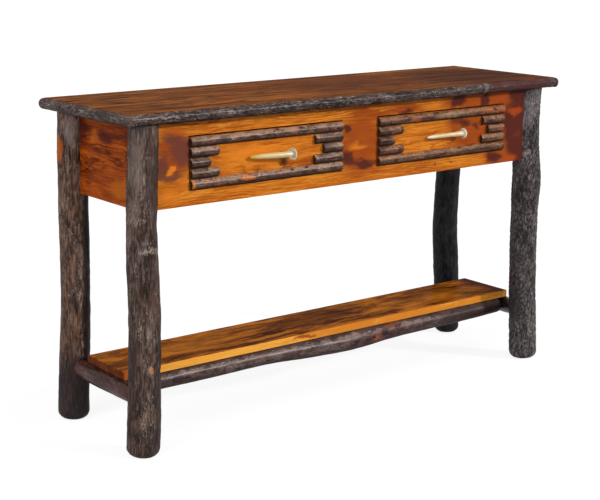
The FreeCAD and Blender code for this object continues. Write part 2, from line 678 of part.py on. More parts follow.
for side_name, side in TABLE_SIDES.items():
    drawer = "drawer_" + side_name
    middle = "%d * opening_mid" % side
    left_x = "(%s - front_half)" % middle
    right_x = "(%s + front_half)" % middle
    inner_left = "(%s + drawer_side_thick)" % left_x
    inner_right = "(%s - drawer_side_thick)" % right_x
    panel_x = (middle + " - panel_half", middle + " + panel_half")

    post_x = "(%s - pull_tip_offset + pull_length - post_from_crown)" % middle
    name = drawer + "_front"
    front_board = block(name + "_board", (left_x, right_x), ("-apron_front", "front_back"),
                        ("front_foot", "front_head"))
    panel_slot = block(name + "_slot", (panel_x[0] + " - joint_gap", panel_x[1] + " + joint_gap"),
                       ("front_back - groove_deep", "front_back"),
                       ("panel_foot - joint_gap", "panel_head + joint_gap"))
    screw_bore = peg(name + "_bore", SCREW_SIDES, "y", "(pull_screw_radius + joint_gap)", "2 * overrun",
                     (post_x, "-apron_front - overrun", "pull_z"))
    sockets = []
    for number in range(TAILS):
        sockets.append(tail("%s_left_socket_%d" % (name, number), number,
                            (left_x + " - overrun", inner_left + " + joint_gap"), "joint_gap"))
        sockets.append(tail("%s_right_socket_%d" % (name, number), number,
                            (inner_right + " - joint_gap", right_x + " + overrun"), "joint_gap"))
    node(name, cut(name, front_board, [panel_slot, screw_bore] + sockets))

    for hand, board_x, groove_x in (
            ("left", (left_x, inner_left), (inner_left + " - groove_deep", inner_left)),
            ("right", (inner_right, right_x), (inner_right, inner_right + " + groove_deep"))):
        name = "%s_side_%s" % (drawer, hand)
        plank = block(name + "_plank", board_x, ("front_back", "box_back"), ("box_foot", "box_head"))
        tails = [tail("%s_tail_%d" % (name, number), number, board_x, "0") for number in range(TAILS)]
        whole = joined(name + "_whole", [plank] + tails)
        groove = block(name + "_groove", groove_x,
                       ("front_back - groove_deep - joint_gap", "box_back + overrun"),
                       ("panel_foot - joint_gap", "panel_head + joint_gap"))
        dado = block(name + "_dado", groove_x,
                     ("box_back - drawer_back_inset - drawer_side_thick - joint_gap",
                      "box_back - drawer_back_inset + joint_gap"),
                     ("panel_foot", "box_head + overrun"))
        node(name, cut(name, whole, [groove, dado]))

    node(drawer + "_back", block(drawer + "_back", panel_x,
                                 ("box_back - drawer_back_inset - drawer_side_thick",
                                  "box_back - drawer_back_inset"), ("panel_head", "box_head")))
    node(drawer + "_bottom", block(drawer + "_bottom", panel_x,
                                   ("front_back - groove_deep + joint_gap", "box_back"),
                                   ("panel_foot", "panel_head")))

    # Five rows of half-round twigs on the front: full length at the top and bottom, and short ones
    # at each end between them, the middle row's the shortest.
    node(drawer + "_twig_top", twig(drawer + "_twig_top", 0, left_x, right_x))
    node(drawer + "_twig_bottom", twig(drawer + "_twig_bottom", TWIG_ROWS - 1, left_x, right_x))
    left_twigs = []
    right_twigs = []
    for row, (word, left_share, right_share) in enumerate(twig_row_shares[side_name], start=1):
        left_twigs.append(twig("%s_left_twig_%d" % (drawer, row), row, left_x,
                               "%s + %s * %s" % (left_x, word, left_share)))
        right_twigs.append(twig("%s_right_twig_%d" % (drawer, row), row,
                                "%s - %s * %s" % (right_x, word, right_share), right_x))
    node(drawer + "_twigs_left", grouped(drawer + "_twigs_left", left_twigs))
    node(drawer + "_twigs_right", grouped(drawer + "_twigs_right", right_twigs))

    # Antler pull: a tine that lies along the drawer with its crown at the right, on a short post
    # near the crown. A machine screw from inside the drawer holds both.
    pull = "pull_" + side_name
    tine = log(pull + "_tine", PULL_SIDES, "x",
               (middle + " - pull_tip_offset", "-apron_front", "pull_z"), "pull_length", "pull_girth",
               [(at, "(-%s * pull_standoff / pull_girth)" % off, rise, girth)
                for at, off, rise, girth in pull_shares[side_name]])
    seat_y = "(pull_girth * %s - apron_front - pull_standoff - pull_flat)" % seat_shares[side_name]
    file_cut = block(pull + "_file_cut",
                     (post_x + " - post_radius - pull_flat", post_x + " + post_radius + pull_flat"),
                     (seat_y, seat_y + " + overrun"), ("pull_z - overrun", "pull_z + overrun"))
    pilot = peg(pull + "_pilot", SCREW_SIDES, "y", "(pull_screw_radius + joint_gap)",
                "(pull_screw_bite + joint_gap + overrun)",
                (post_x, seat_y + " - pull_screw_bite - joint_gap", "pull_z"))
    node(pull, cut(pull, tine, [file_cut, pilot]))
    rod = peg(pull + "_rod", TENON_SIDES, "y", "post_radius", "(-apron_front - %s)" % seat_y,
              (post_x, seat_y, "pull_z"))
    rod_bore = peg(pull + "_rod_bore", SCREW_SIDES, "y", "(pull_screw_radius + joint_gap)", "2 * overrun",
                   (post_x, seat_y + " - overrun", "pull_z"))
    node(pull + "_post", cut(pull + "_post", rod, [rod_bore]))
    shank = peg(pull + "_shank", SCREW_SIDES, "y", "pull_screw_radius",
                "(front_back - %s + pull_screw_bite)" % seat_y,
                (post_x, seat_y + " - pull_screw_bite", "pull_z"))
    head = peg(pull + "_head", SCREW_SIDES, "y", "pull_screw_head_radius", "pull_screw_head_thick",
               (post_x, "front_back", "pull_z"))
    node(pull + "_screw", joined(pull + "_screw", [shank, head]))

doc.recompute()

faults = [thing.Name for thing in doc.Objects if "Invalid" in thing.State or "Error" in thing.State]
faults += [name for name, thing in PARTS.items() if thing.Shape.isNull() or not thing.Shape.isValid()]
if faults:
    raise RuntimeError("these did not build: " + ", ".join(faults))
os.makedirs("parts", exist_ok=True)
for name, thing in PARTS.items():
    thing.Shape.exportStep("parts/%s.step" % name)
print(len(PARTS), "sub-parts written")
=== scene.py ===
import bpy
from mathutils import Matrix, Vector


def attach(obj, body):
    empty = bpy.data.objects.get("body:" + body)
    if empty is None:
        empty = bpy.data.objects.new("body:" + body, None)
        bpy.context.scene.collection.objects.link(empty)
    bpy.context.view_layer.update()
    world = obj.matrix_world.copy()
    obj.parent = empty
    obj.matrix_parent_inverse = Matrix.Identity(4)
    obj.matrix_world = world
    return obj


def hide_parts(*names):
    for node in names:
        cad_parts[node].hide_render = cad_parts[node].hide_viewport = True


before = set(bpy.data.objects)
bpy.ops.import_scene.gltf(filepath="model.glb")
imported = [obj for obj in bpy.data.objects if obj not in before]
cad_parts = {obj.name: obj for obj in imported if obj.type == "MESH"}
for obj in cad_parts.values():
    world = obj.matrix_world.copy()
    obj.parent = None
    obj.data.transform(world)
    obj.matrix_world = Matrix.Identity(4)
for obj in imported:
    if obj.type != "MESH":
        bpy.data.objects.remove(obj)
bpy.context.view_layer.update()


# Legs: four crooked hickory saplings with the bark left on, dried and varnished. Each is housed
# over the ends of two aprons, its foot is rounded over, and it stands on the floor.

def paint(red, green, blue):
    """A colour as a paint card gives it, turned into the values that light works with."""
    return [(step / 12.92 if step <= 0.04045 else ((step + 0.055) / 1.055) ** 2.4)
            for step in (red / 255, green / 255, blue / 255)] + [1.0]


def add(tree, kind, feeds=None, **settings):
    """Adds one node to a tree, with values or other nodes' outputs fed into its sockets."""
    made = tree.nodes.new(kind)
    for name, value in settings.items():
        setattr(made, name, value)
    for socket, value in (feeds or {}).items():
        if isinstance(value, bpy.types.NodeSocket):
            tree.links.new(value, made.inputs[socket])
        else:
            made.inputs[socket].default_value = value
    return made


def flow(kind, feeds, out=0, **settings):
    """Adds a node to the tree of what feeds it, and gives one of its outputs."""
    tree = next(value.id_data for value in feeds.values() if isinstance(value, bpy.types.NodeSocket))
    return add(tree, kind, feeds, **settings).outputs[out]


def sums(operation, first, second=0.0, clamp=False):
    return flow("ShaderNodeMath", {0: first, 1: second}, operation=operation, use_clamp=clamp)


def times(first, second):
    return sums("MULTIPLY", first, second)


def plus(first, second):
    return sums("ADD", first, second)


def minus(first, second):
    return sums("SUBTRACT", first, second)


def vectors(operation, first, second=(0, 0, 0)):
    """Sums with places. A scale's second value is one number, and every other sum's is a place."""
    socket = 3 if operation == "SCALE" else 1
    out = 1 if operation in ("DOT_PRODUCT", "LENGTH") else 0
    return flow("ShaderNodeVectorMath", {0: first, socket: second}, out, operation=operation)


def ramp(value, low, high, most=1.0):
    """Nothing below low, the most above high, and a smooth rise between them."""
    return flow("ShaderNodeMapRange", {0: value, 1: low, 2: high, 4: most}, interpolation_type="SMOOTHSTEP")


def blend(share, under, over):
    """One colour laid over another, as far as the share says. A colour is a node's or three numbers."""
    under, over = (paint(*tone) if isinstance(tone, (tuple, list)) else tone for tone in (under, over))
    return flow("ShaderNodeMix", {0: share, 6: under, 7: over}, 2, data_type="RGBA")


def noise(place, per_metre, detail=2.0, rough=0.5, wander=0.0):
    return flow("ShaderNodeTexNoise", {"Vector": place, "Scale": per_metre, "Detail": detail,
                                       "Roughness": rough, "Distortion": wander}, "Fac")


def stretched(place, along, shift=(0, 0, 0)):
    """The same place with one or more axes drawn out, which makes a pattern long on them."""
    return flow("ShaderNodeMapping", {"Vector": place, "Location": shift, "Scale": along})


def astray(place, by, cloud_place, per_metre, detail=2.0, rough=0.5):
    """The place led astray by a cloudy noise, by up to half as many metres."""
    cloud = flow("ShaderNodeTexNoise", {"Vector": cloud_place, "Scale": per_metre, "Detail": detail,
                                        "Roughness": rough}, "Color")
    return vectors("ADD", place, vectors("SCALE", vectors("SUBTRACT", cloud, (0.5, 0.5, 0.5)), by))


def new_tree(name, made, inputs):
    """A Geometry Nodes tree. Each input is a name, a kind, and a value where it may be left out."""
    tree = bpy.data.node_groups.new(name, "GeometryNodeTree")
    for label, kind, *value in inputs:
        socket = tree.interface.new_socket(label, in_out="INPUT", socket_type="NodeSocket" + kind)
        if value:
            socket.default_value = value[0]
    tree.interface.new_socket(made, in_out="OUTPUT", socket_type="NodeSocketGeometry")
    return tree, add(tree, "NodeGroupInput").outputs


def log_tree():
    """Grows a natural pole on a line of stations: round, lumpy and furrowed, with rounded ends."""
    tree, given = new_tree("barked_log", "Log", (
        ("Line", "Geometry"), ("Sides", "Int"), ("Step", "Float"), ("Low End Round", "Float"),
        ("High End Round", "Float"), ("Lump Size", "Float"), ("Lump Height", "Float"),
        ("Furrow Width", "Float"), ("Furrow Stretch", "Float"), ("Furrow Depth", "Float"),
        ("Seed", "Float"), ("Knot Place", "Vector", (0, 0, -1)), ("Knot Size", "Float", 0.012),
        ("Saw Place", "Vector", (0, 0, 9)), ("Saw Side", "Vector", (0, 0, 1)), ("Bark", "Material"),
        ("Cut End", "Material")))

    def field(kind, name):
        return add(tree, "GeometryNodeInputNamedAttribute", {"Name": name}, data_type=kind).outputs[0]

    def store(body, kind, name, value):
        return flow("GeometryNodeStoreNamedAttribute", {"Geometry": body, "Name": name, "Value": value},
                    data_type=kind)

    line = flow("GeometryNodeMeshToCurve", {"Mesh": given["Line"]})
    line = flow("GeometryNodeSetCurveRadius", {"Curve": line, "Radius": field("FLOAT", "girth")})
    line = flow("GeometryNodeCurveSplineType", {"Curve": line}, spline_type="CATMULL_ROM")
    line = flow("GeometryNodeResampleCurve", {"Curve": line, "Length": given["Step"]}, mode="LENGTH")
    run = add(tree, "GeometryNodeSplineParameter").outputs["Length"]
    left = minus(add(tree, "GeometryNodeSplineLength").outputs["Length"], run)
    radius = add(tree, "GeometryNodeInputRadius").outputs[0]
    for distance, end_round in ((run, given["Low End Round"]), (left, given["High End Round"])):
        away = minus(1.0, sums("DIVIDE", distance, end_round, clamp=True))
        arc = sums("SQRT", minus(1.0, times(away, away)))
        radius = minus(radius, times(end_round, minus(1.0, arc)))
    line = store(line, "FLOAT_VECTOR", "heart", add(tree, "GeometryNodeInputPosition").outputs[0])
    line = store(line, "FLOAT", "run", run)
    line = store(line, "FLOAT", "girth", radius)
    line = flow("GeometryNodeSetCurveRadius", {"Curve": line, "Radius": 1.0})
    ring = flow("GeometryNodeCurvePrimitiveCircle", {"Resolution": given["Sides"], "Radius": 1.0})
    ring = store(ring, "FLOAT_VECTOR", "turn", add(tree, "GeometryNodeInputPosition").outputs[0])
    body = flow("GeometryNodeCurveToMesh", {"Curve": line, "Profile Curve": ring,
                                            "Scale": field("FLOAT", "girth"), "Fill Caps": True})

    # bark coordinates that close round the log: round it, and along its length
    across = vectors("SCALE", field("FLOAT_VECTOR", "turn"), field("FLOAT", "girth"))
    bark = vectors("ADD", across, flow("ShaderNodeCombineXYZ", {2: field("FLOAT", "run")}))
    seeded = vectors("ADD", bark, vectors("SCALE", (3.7, 5.3, 8.9), given["Seed"]))

    # broad lumps, and plates of bark with furrows between them
    lump = noise(seeded, sums("DIVIDE", 1.0, given["Lump Size"]), 1.0)
    lump = times(minus(lump, 0.5), given["Lump Height"])
    drawn = flow("ShaderNodeCombineXYZ", {0: 1.0, 1: 1.0, 2: given["Furrow Stretch"]})
    plated = vectors("MULTIPLY", seeded, drawn)
    plated = astray(plated, 0.012, plated, 60.0)
    plates = flow("ShaderNodeTexVoronoi", {
        "Vector": plated, "Scale": sums("DIVIDE", 1.0, given["Furrow Width"])}, "Distance",
        feature="DISTANCE_TO_EDGE")
    ridge = ramp(plates, 0.0, 0.32)
    fine = noise(plated, sums("DIVIDE", 1.6, given["Furrow Width"]), 3.0, 0.6)
    ridge = plus(times(ridge, 0.6), times(fine, 0.4))
    rise = times(minus(ridge, 0.75), given["Furrow Depth"])

    # a healed knot: a low ring of bark with a dimple in it
    here = add(tree, "GeometryNodeInputPosition").outputs[0]
    reach = vectors("LENGTH", vectors("SUBTRACT", here, given["Knot Place"]))
    reach = sums("DIVIDE", reach, given["Knot Size"])
    rim = sums("DIVIDE", minus(reach, 1.0), 0.4)
    rim = sums("EXPONENT", times(times(rim, rim), -1.0))
    dimple = sums("EXPONENT", times(times(reach, reach), -4.0))
    knot = minus(times(rim, 0.16), times(dimple, 0.22))
    rise = plus(rise, times(knot, given["Knot Size"]))

    # the surface moves out from the heart, and what lies past the saw's cut is brought back to it
    out = vectors("NORMALIZE", vectors("SUBTRACT", here, field("FLOAT_VECTOR", "heart")))
    moved = vectors("ADD", here, vectors("SCALE", out, plus(lump, rise)))
    from_saw = vectors("SUBTRACT", moved, given["Saw Place"])
    past = sums("MAXIMUM", vectors("DOT_PRODUCT", from_saw, given["Saw Side"]), 0.0)
    moved = vectors("SUBTRACT", moved, vectors("SCALE", given["Saw Side"], past))
    body = flow("GeometryNodeSetPosition", {"Geometry": body, "Position": moved})
    body = store(body, "FLOAT_VECTOR", "bark", seeded)
    body = store(body, "FLOAT", "ridge", ridge)
    body = store(body, "FLOAT", "upward", flow("ShaderNodeSeparateXYZ", {0: out}, 2))
    for name in ("heart", "run", "girth", "turn"):
        body = flow("GeometryNodeRemoveAttribute", {"Geometry": body, "Name": name})
    corners = add(tree, "GeometryNodeInputMeshFaceNeighbors").outputs["Vertex Count"]
    capped = flow("FunctionNodeCompare", {2: corners, 3: 5}, data_type="INT", operation="GREATER_THAN")
    skin = flow("FunctionNodeBooleanMath", {0: capped}, operation="NOT")
    body = flow("GeometryNodeSetShadeSmooth", {"Geometry": body, "Shade Smooth": skin})
    body = flow("GeometryNodeRealizeInstances", {"Geometry": body})
    body = flow("GeometryNodeSetMaterial", {"Geometry": body, "Material": given["Bark"]})
    body = flow("GeometryNodeSetMaterial", {"Geometry": body, "Selection": capped,
                                            "Material": given["Cut End"]})
    add(tree, "NodeGroupOutput", {0: body})
    return tree


BARKED_LOG = log_tree()


def new_object(name, data):
    made = bpy.data.objects.new(name, data)
    bpy.context.scene.collection.objects.link(made)
    return made


def grow(name, seat, tree, given):
    """Runs a Geometry Nodes tree on a mesh and keeps what it makes as a plain mesh."""
    piece = new_object(name, seat)
    growth = piece.modifiers.new("growth", "NODES")
    growth.node_group = tree
    for socket in tree.interface.items_tree:
        if socket.in_out == "INPUT" and socket.name in given:
            growth[socket.identifier] = given[socket.name]
    seen = piece.evaluated_get(bpy.context.evaluated_depsgraph_get())
    piece.data = bpy.data.meshes.new_from_object(seen)
    piece.modifiers.clear()
    bpy.data.meshes.remove(seat)
    piece.data.name = name
    return piece


def grow_log(name, stations, bark, cut_end, **inputs):
    """One log through its stations, each an x, y, z and a girth in metres."""
    line = bpy.data.meshes.new(name)
    line.from_pydata([station[:3] for station in stations],
                     [(number, number + 1) for number in range(len(stations) - 1)], [])
    girth = line.attributes.new("girth", "FLOAT", "POINT")
    for number, station in enumerate(stations):
        girth.data[number].value = station[3]
    given = {word.replace("_", " ").title(): value for word, value in inputs.items()}
    return grow(name, line, BARKED_LOG, {"Bark": bark, "Cut End": cut_end, **given})


def new_finish(name, roughness=0.5, gloss=0.5, coat=0.0, coat_roughness=0.1):
    made = bpy.data.materials.new(name)
    made.use_nodes = True
    shader = made.node_tree.nodes["Principled BSDF"]
    shader.inputs["Roughness"].default_value = roughness
    shader.inputs["Specular IOR Level"].default_value = gloss
    shader.inputs["Coat Weight"].default_value = coat
    shader.inputs["Coat Roughness"].default_value = coat_roughness
    return made, shader


def object_place(shader):
    return add(shader.id_data, "ShaderNodeTexCoord").outputs["Object"]


def stored(shader, name, out="Fac"):
    """What the log's mesh has stored under a name."""
    return add(shader.id_data, "ShaderNodeAttribute", attribute_name=name).outputs[out]


def feed(shader, socket, value):
    shader.id_data.links.new(value, shader.inputs[socket])


def dress(shader, colour, height, strength, depth):
    """Gives a finish its colour, and the fine relief that is too small for the mesh."""
    feed(shader, "Base Color", colour)
    bump = flow("ShaderNodeBump", {"Strength": strength, "Distance": depth, "Height": height})
    feed(shader, "Normal", bump)


def spots(place, where, ragged, drawn, per_metre, wander, soft=0.6):
    """A mask of soft spots, whose borders wander and fray along the grain. Each spot is the x, y and z
    of its middle, its reach along them, and its strength."""
    bent = astray(place, wander, stretched(place, drawn), 0.7 * per_metre, 4.0, 0.65)
    total = 0.0
    for x, y, z, wide, deep, high, strength in where:
        away = vectors("SUBTRACT", bent, (x, y, z))
        far = vectors("LENGTH", vectors("DIVIDE", away, (wide, deep, high)))
        total = plus(total, times(minus(1.0, ramp(far, 0.1, 1.6)), strength))
    drawn_more = [0.4 * share if share < 1 else 1.0 for share in drawn]
    fray = noise(stretched(bent, drawn_more, (0.21, 0.43, 0.17)), 3.0 * per_metre, 4.0, 0.65)
    total = plus(total, times(minus(fray, 0.5), ragged))
    return ramp(total, 0.25, 0.25 + soft)


def bark_finish(name, dark, middle, light, fleck, rough=0.45, flecks=0.6, streaky=0.6, furrows=0.6,
                grey=0.35, shine=0.2, mottle=20.0, drawn=0.10, painted_light_and_shade=0.0, patches=()):
    """Varnished bark: brown and grey fields, fine streaks along the log, pale crusts and dark furrows.
    With painted light and shade, the upper side is painted pale as a highlight and the underside dark
    as shade. Each patch is a colour, its strength, how crumbly it is, and then its spots."""
    made, shader = new_finish(name, rough, gloss=0.0, coat=shine, coat_roughness=0.28)
    bark, ridge, place = stored(shader, "bark", "Vector"), stored(shader, "ridge"), object_place(shader)
    fields = noise(stretched(bark, (1, 1, 0.5)), mottle, 5.0, 0.72, 1.0)
    colour = blend(ramp(fields, 0.38, 0.60), dark, middle)
    greyed = noise(stretched(bark, (1, 1, 0.4), (0.4, 0.2, 0)), 1.3 * mottle, 6.0, 0.75, 0.8)
    colour = blend(ramp(greyed, 0.49, 0.62, grey), colour, light)
    streaks = noise(stretched(bark, (1, 1, drawn)), 330.0, 4.0, 0.75, 0.3)
    scuffed = noise(stretched(bark, (1, 1, 0.6), (0, 0.7, 0)), 1.8 * mottle, 5.0, 0.7, 0.8)
    scuffs = ramp(scuffed, 0.34, 0.60, streaky)
    colour = blend(ramp(streaks, 0.46, 0.68, scuffs), colour, light)
    shade = minus(1.0, ramp(streaks, 0.32, 0.50))
    colour = blend(times(shade, 0.75), colour, [0.4 * tone for tone in dark])
    grains = noise(stretched(bark, (1, 1, 0.6), (0.3, 0, 0)), 300.0, 4.0, 0.7, 0.5)
    crusts = ramp(scuffed, 0.50, 0.62, flecks)
    colour = blend(ramp(grains, 0.52, 0.64, crusts), colour, fleck)
    furrow = minus(1.0, ramp(ridge, 0.15, 0.55))
    colour = blend(times(furrow, furrows), colour, [0.25 * tone for tone in dark])
    # Painted light and shade: the upper side is painted pale as a highlight, and the underside dark as shade.
    if painted_light_and_shade:
        upward = stored(shader, "upward")
        painted_highlight = times(ramp(upward, 0.0, 0.75, painted_light_and_shade), ramp(scuffed, 0.34, 0.56))
        colour = blend(times(painted_highlight, ramp(grains, 0.30, 0.50)), colour, light)
        colour = blend(ramp(times(upward, -1.0), 0.1, 0.8, painted_light_and_shade), colour, dark)
    for patch_colour, strength, crumbly, *where in patches:
        crumbs = plus(ramp(grains, 0.44, 0.60, crumbly), 1.0 - crumbly)
        mask = spots(place, where, ragged=1.6, drawn=(1, 1, 0.5), per_metre=60.0, wander=0.02)
        colour = blend(times(times(mask, strength), crumbs), colour, patch_colour)
    feed(shader, "Roughness", plus(times(streaks, 0.35), rough - 0.17))
    dress(shader, colour, plus(times(streaks, 0.6), times(grains, 0.4)), 0.9, 0.0016)
    return made


def end_grain(name, pale, dark):
    """The sawn end of a sapling: fine mottle, darkened by the stain."""
    made, shader = new_finish(name, gloss=0.25)
    pores = noise(object_place(shader), 420.0, 3.0, 0.7)
    dress(shader, blend(ramp(pores, 0.35, 0.65), dark, pale), pores, 0.4, 0.0005)
    return made


sapling_end = end_grain("sapling_end", (112, 70, 42), (58, 36, 26))

leg_height, leg_girth = 0.740, 0.0366
leg_aside, leg_behind = 0.603, 0.1548    # how far a leg's foot stands from the table's middle
# height share, stand-off to the right and to the back and girth, as shares of the leg's girth
leg_stations = {
    "front_left": ((-1, -1), (
        (0.00, -0.03, 0.04, 1.02), (0.12, 0.06, -0.05, 1.02), (0.25, 0.13, -0.07, 0.99),
        (0.42, 0.20, -0.13, 0.97), (0.57, 0.18, -0.07, 0.96), (0.70, 0.19, -0.02, 0.92),
        (0.80, 0.27, -0.04, 0.92), (0.90, 0.38, -0.03, 0.92), (1.00, 0.50, 0.05, 0.90))),
    "rear_left": ((-1, 1), (
        (0.00, -0.11, 0.09, 1.02), (0.13, -0.03, -0.01, 1.00), (0.26, 0.08, -0.11, 0.98),
        (0.39, 0.14, -0.25, 0.94), (0.52, 0.14, -0.33, 0.95), (0.65, 0.11, -0.41, 0.95),
        (0.80, 0.06, -0.56, 0.94), (0.90, 0.04, -0.68, 0.94), (1.00, 0.08, -0.75, 0.94))),
    "front_right": ((1, -1), (
        (0.00, -0.03, 0.04, 1.02), (0.14, -0.14, 0.11, 1.00), (0.28, -0.25, 0.16, 0.99),
        (0.45, -0.33, 0.17, 0.98), (0.58, -0.36, 0.16, 1.00), (0.66, -0.33, 0.12, 1.04),
        (0.74, -0.40, 0.15, 0.99), (0.82, -0.49, 0.21, 0.97), (0.90, -0.52, 0.22, 0.98),
        (1.00, -0.44, 0.17, 0.98))),
    "rear_right": ((1, 1), (
        (0.00, 0.08, -0.09, 0.96), (0.14, 0.03, -0.03, 0.97), (0.28, -0.08, 0.05, 0.99),
        (0.42, -0.19, 0.14, 0.96), (0.56, -0.16, 0.07, 0.93), (0.72, -0.16, -0.14, 0.93),
        (0.86, -0.16, -0.36, 0.94), (1.00, -0.16, -0.55, 0.94))),
}
leg_looks = {
    "front_left": dict(dark=(54, 39, 34), middle=(94, 71, 61), light=(134, 117, 109), fleck=(184, 170, 158),
                       flecks=0.7, streaky=0.65, grey=0.5),
    "rear_left": dict(dark=(54, 39, 35), middle=(120, 87, 70), light=(154, 131, 119), fleck=(196, 178, 160),
                      flecks=0.7, streaky=0.6, grey=0.4),
    "front_right": dict(dark=(52, 46, 47), middle=(94, 85, 85), light=(146, 137, 136), fleck=(178, 170, 166),
                        flecks=0.7, rough=0.5, grey=0.4, furrows=0.85, streaky=0.8, drawn=0.26),
    "rear_right": dict(dark=(18, 17, 20), middle=(34, 32, 36), light=(58, 55, 60), fleck=(84, 78, 80),
                       flecks=0.4, rough=0.4),
}
# crusts, rubbed places and darker places on the bark, with painted highlights on the lit upper left of the
# front left and rear left legs, and painted shade on the right of the rear left leg and on the left of the
# front right leg
leg_patches = {
    "front_left": (
        ((202, 136, 98), 0.8, 0.4, (-0.603, -0.19, 0.207, 0.008, 0.02, 0.009, 1.3)),
        # pale grey bark, and a painted highlight on the leg's lit upper left
        ((150, 136, 128), 0.35, 0.3, (-0.62, -0.18, 0.66, 0.014, 0.03, 0.08, 1.1),
         (-0.626, -0.18, 0.54, 0.012, 0.03, 0.03, 0.9)),
        ((196, 178, 160), 0.65, 1.0, (-0.59, -0.19, 0.468, 0.04, 0.03, 0.01, 0.9),
         (-0.618, -0.18, 0.533, 0.02, 0.03, 0.01, 0.7), (-0.615, -0.19, 0.12, 0.03, 0.03, 0.06, 0.45)),
        ((50, 38, 36), 0.85, 0.2, (-0.59, -0.19, 0.05, 0.03, 0.03, 0.05, 0.8),
         (-0.578, -0.18, 0.18, 0.012, 0.03, 0.1, 1.0), (-0.633, -0.16, 0.22, 0.012, 0.03, 0.1, 0.9)),
        ((66, 48, 44), 0.6, 0.2, (-0.585, -0.19, 0.6, 0.022, 0.03, 0.12, 0.9),
         (-0.585, -0.19, 0.36, 0.02, 0.03, 0.1, 0.7)),
    ),
    "rear_left": (
        ((178, 84, 12), 0.95, 0.3, (-0.634, 0.14, 0.66, 0.026, 0.026, 0.026, 1.4),
         (-0.634, 0.136, 0.632, 0.014, 0.016, 0.014, 1.0)),
        # painted highlight on the rear left leg's upper part
        ((150, 138, 138), 0.55, 0.4, (-0.62, 0.102, 0.7, 0.014, 0.02, 0.045, 1.1)),
        ((38, 31, 34), 0.93, 0.12, (-0.61, 0.13, 0.02, 0.08, 0.08, 0.15, 1.6)),
        # painted shade down the rear left leg's right side
        ((26, 20, 21), 0.96, 0.1, (-0.572, 0.115, 0.3, 0.024, 0.026, 0.5, 1.7)),
    ),
    "front_right": (
        ((44, 40, 43), 0.8, 0.1, (0.56, -0.15, 0.15, 0.022, 0.03, 0.045, 1.5)),
        # painted shade on the front right leg's left side
        ((40, 36, 39), 0.5, 0.3, (0.555, -0.14, 0.35, 0.01, 0.03, 0.35, 0.8)),
        ((150, 140, 140), 0.6, 0.8, (0.56, -0.17, 0.68, 0.06, 0.05, 0.05, 0.8)),
        ((62, 48, 46), 0.5, 0.2, (0.58, -0.15, 0.25, 0.06, 0.06, 0.1, 0.7)),
    ),
}
leg_knots = {
    "front_left": (-0.6275, -0.176, 0.322), "rear_left": (-0.632, 0.13, 0.30),
    "front_right": (0.567, -0.179, 0.465), "rear_right": (0.585, 0.125, 0.40),
}
# how wide the bark's plates are, how far they are drawn out along the leg, and how deep the furrows
leg_plates = {
    "front_left": (0.0050, 0.10, 0.0014), "rear_left": (0.0050, 0.11, 0.0012),
    "front_right": (0.0062, 0.42, 0.0022), "rear_right": (0.0065, 0.16, 0.0012),
}
for number, (corner, ((side_x, side_y), stations)) in enumerate(leg_stations.items()):
    line = [(side_x * leg_aside + leg_girth * right, side_y * leg_behind + leg_girth * back,
             leg_height * up, leg_girth * girth) for up, right, back, girth in stations]
    plate_width, plate_drawn, furrow_depth = leg_plates[corner]
    bark = bark_finish("leg_bark_" + corner, patches=leg_patches.get(corner, ()), **leg_looks[corner])
    leg = grow_log("leg_log_" + corner, line, bark, sapling_end, sides=96, step=0.003,
                   low_end_round=0.020, high_end_round=0.001, lump_size=0.05, lump_height=0.0035,
                   furrow_width=plate_width, furrow_stretch=plate_drawn, furrow_depth=furrow_depth,
                   seed=float(number + 1), knot_place=leg_knots[corner], knot_size=0.009,
                   saw_place=(0, 0, 0), saw_side=(0, 0, -1))
    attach(leg, "table")
    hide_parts("leg_" + corner)


# Stretchers and shelf poles: thinner, smoother saplings under the shelf. The stretchers have round
# tenons in the legs, the long poles have theirs in the stretchers, and all are planed flat on top.
shelf_foot, flat = 0.1535, 0.0006
stretcher_girth = 0.0225
# place along in metres, then bow to the right and girth, as shares of the stretcher's girth
stretcher_stations = ((-0.1255, 0.00, 0.86), (-0.10323, 0.00, 0.94), (-0.0444, 0.04, 1.00),
                      (0.0333, -0.03, 1.02), (0.10323, 0.00, 0.95), (0.1255, 0.00, 0.86))
# The right stretcher's near-black colours are painted shade: its inner side, which is the side in view, lies
# in shade.
stretcher_looks = {
    "left": dict(dark=(50, 26, 24), middle=(84, 48, 42), light=(124, 92, 84), fleck=(196, 184, 182),
                 flecks=0.4, rough=0.34, streaky=0.4, furrows=0.3, grey=0.3, shine=0.4),
    "right": dict(dark=(10, 9, 11), middle=(20, 18, 21), light=(44, 40, 46), fleck=(150, 145, 150),
                  flecks=0.2, rough=0.3, streaky=0.3, furrows=0.3, shine=1.0),
}
for side, (name, looks) in zip((-1, 1), stretcher_looks.items()):
    line = [(side * leg_aside + stretcher_girth * bow, along, shelf_foot + flat - stretcher_girth,
             stretcher_girth * girth) for along, bow, girth in stretcher_stations]
    bark = bark_finish("stretcher_bark_" + name, **looks)
    stretcher = grow_log("stretcher_log_" + name, line, bark, sapling_end, sides=56, step=0.003,
                         low_end_round=0.006, high_end_round=0.006, lump_size=0.05, lump_height=0.001,
                         furrow_width=0.006, furrow_stretch=0.12, furrow_depth=0.0005, seed=10.0 + side,
                         saw_place=(0, 0, shelf_foot))
    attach(stretcher, "table")
    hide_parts("stretcher_" + name)

pole_girth, pole_half, pole_behind = 0.021, 0.577, 0.072
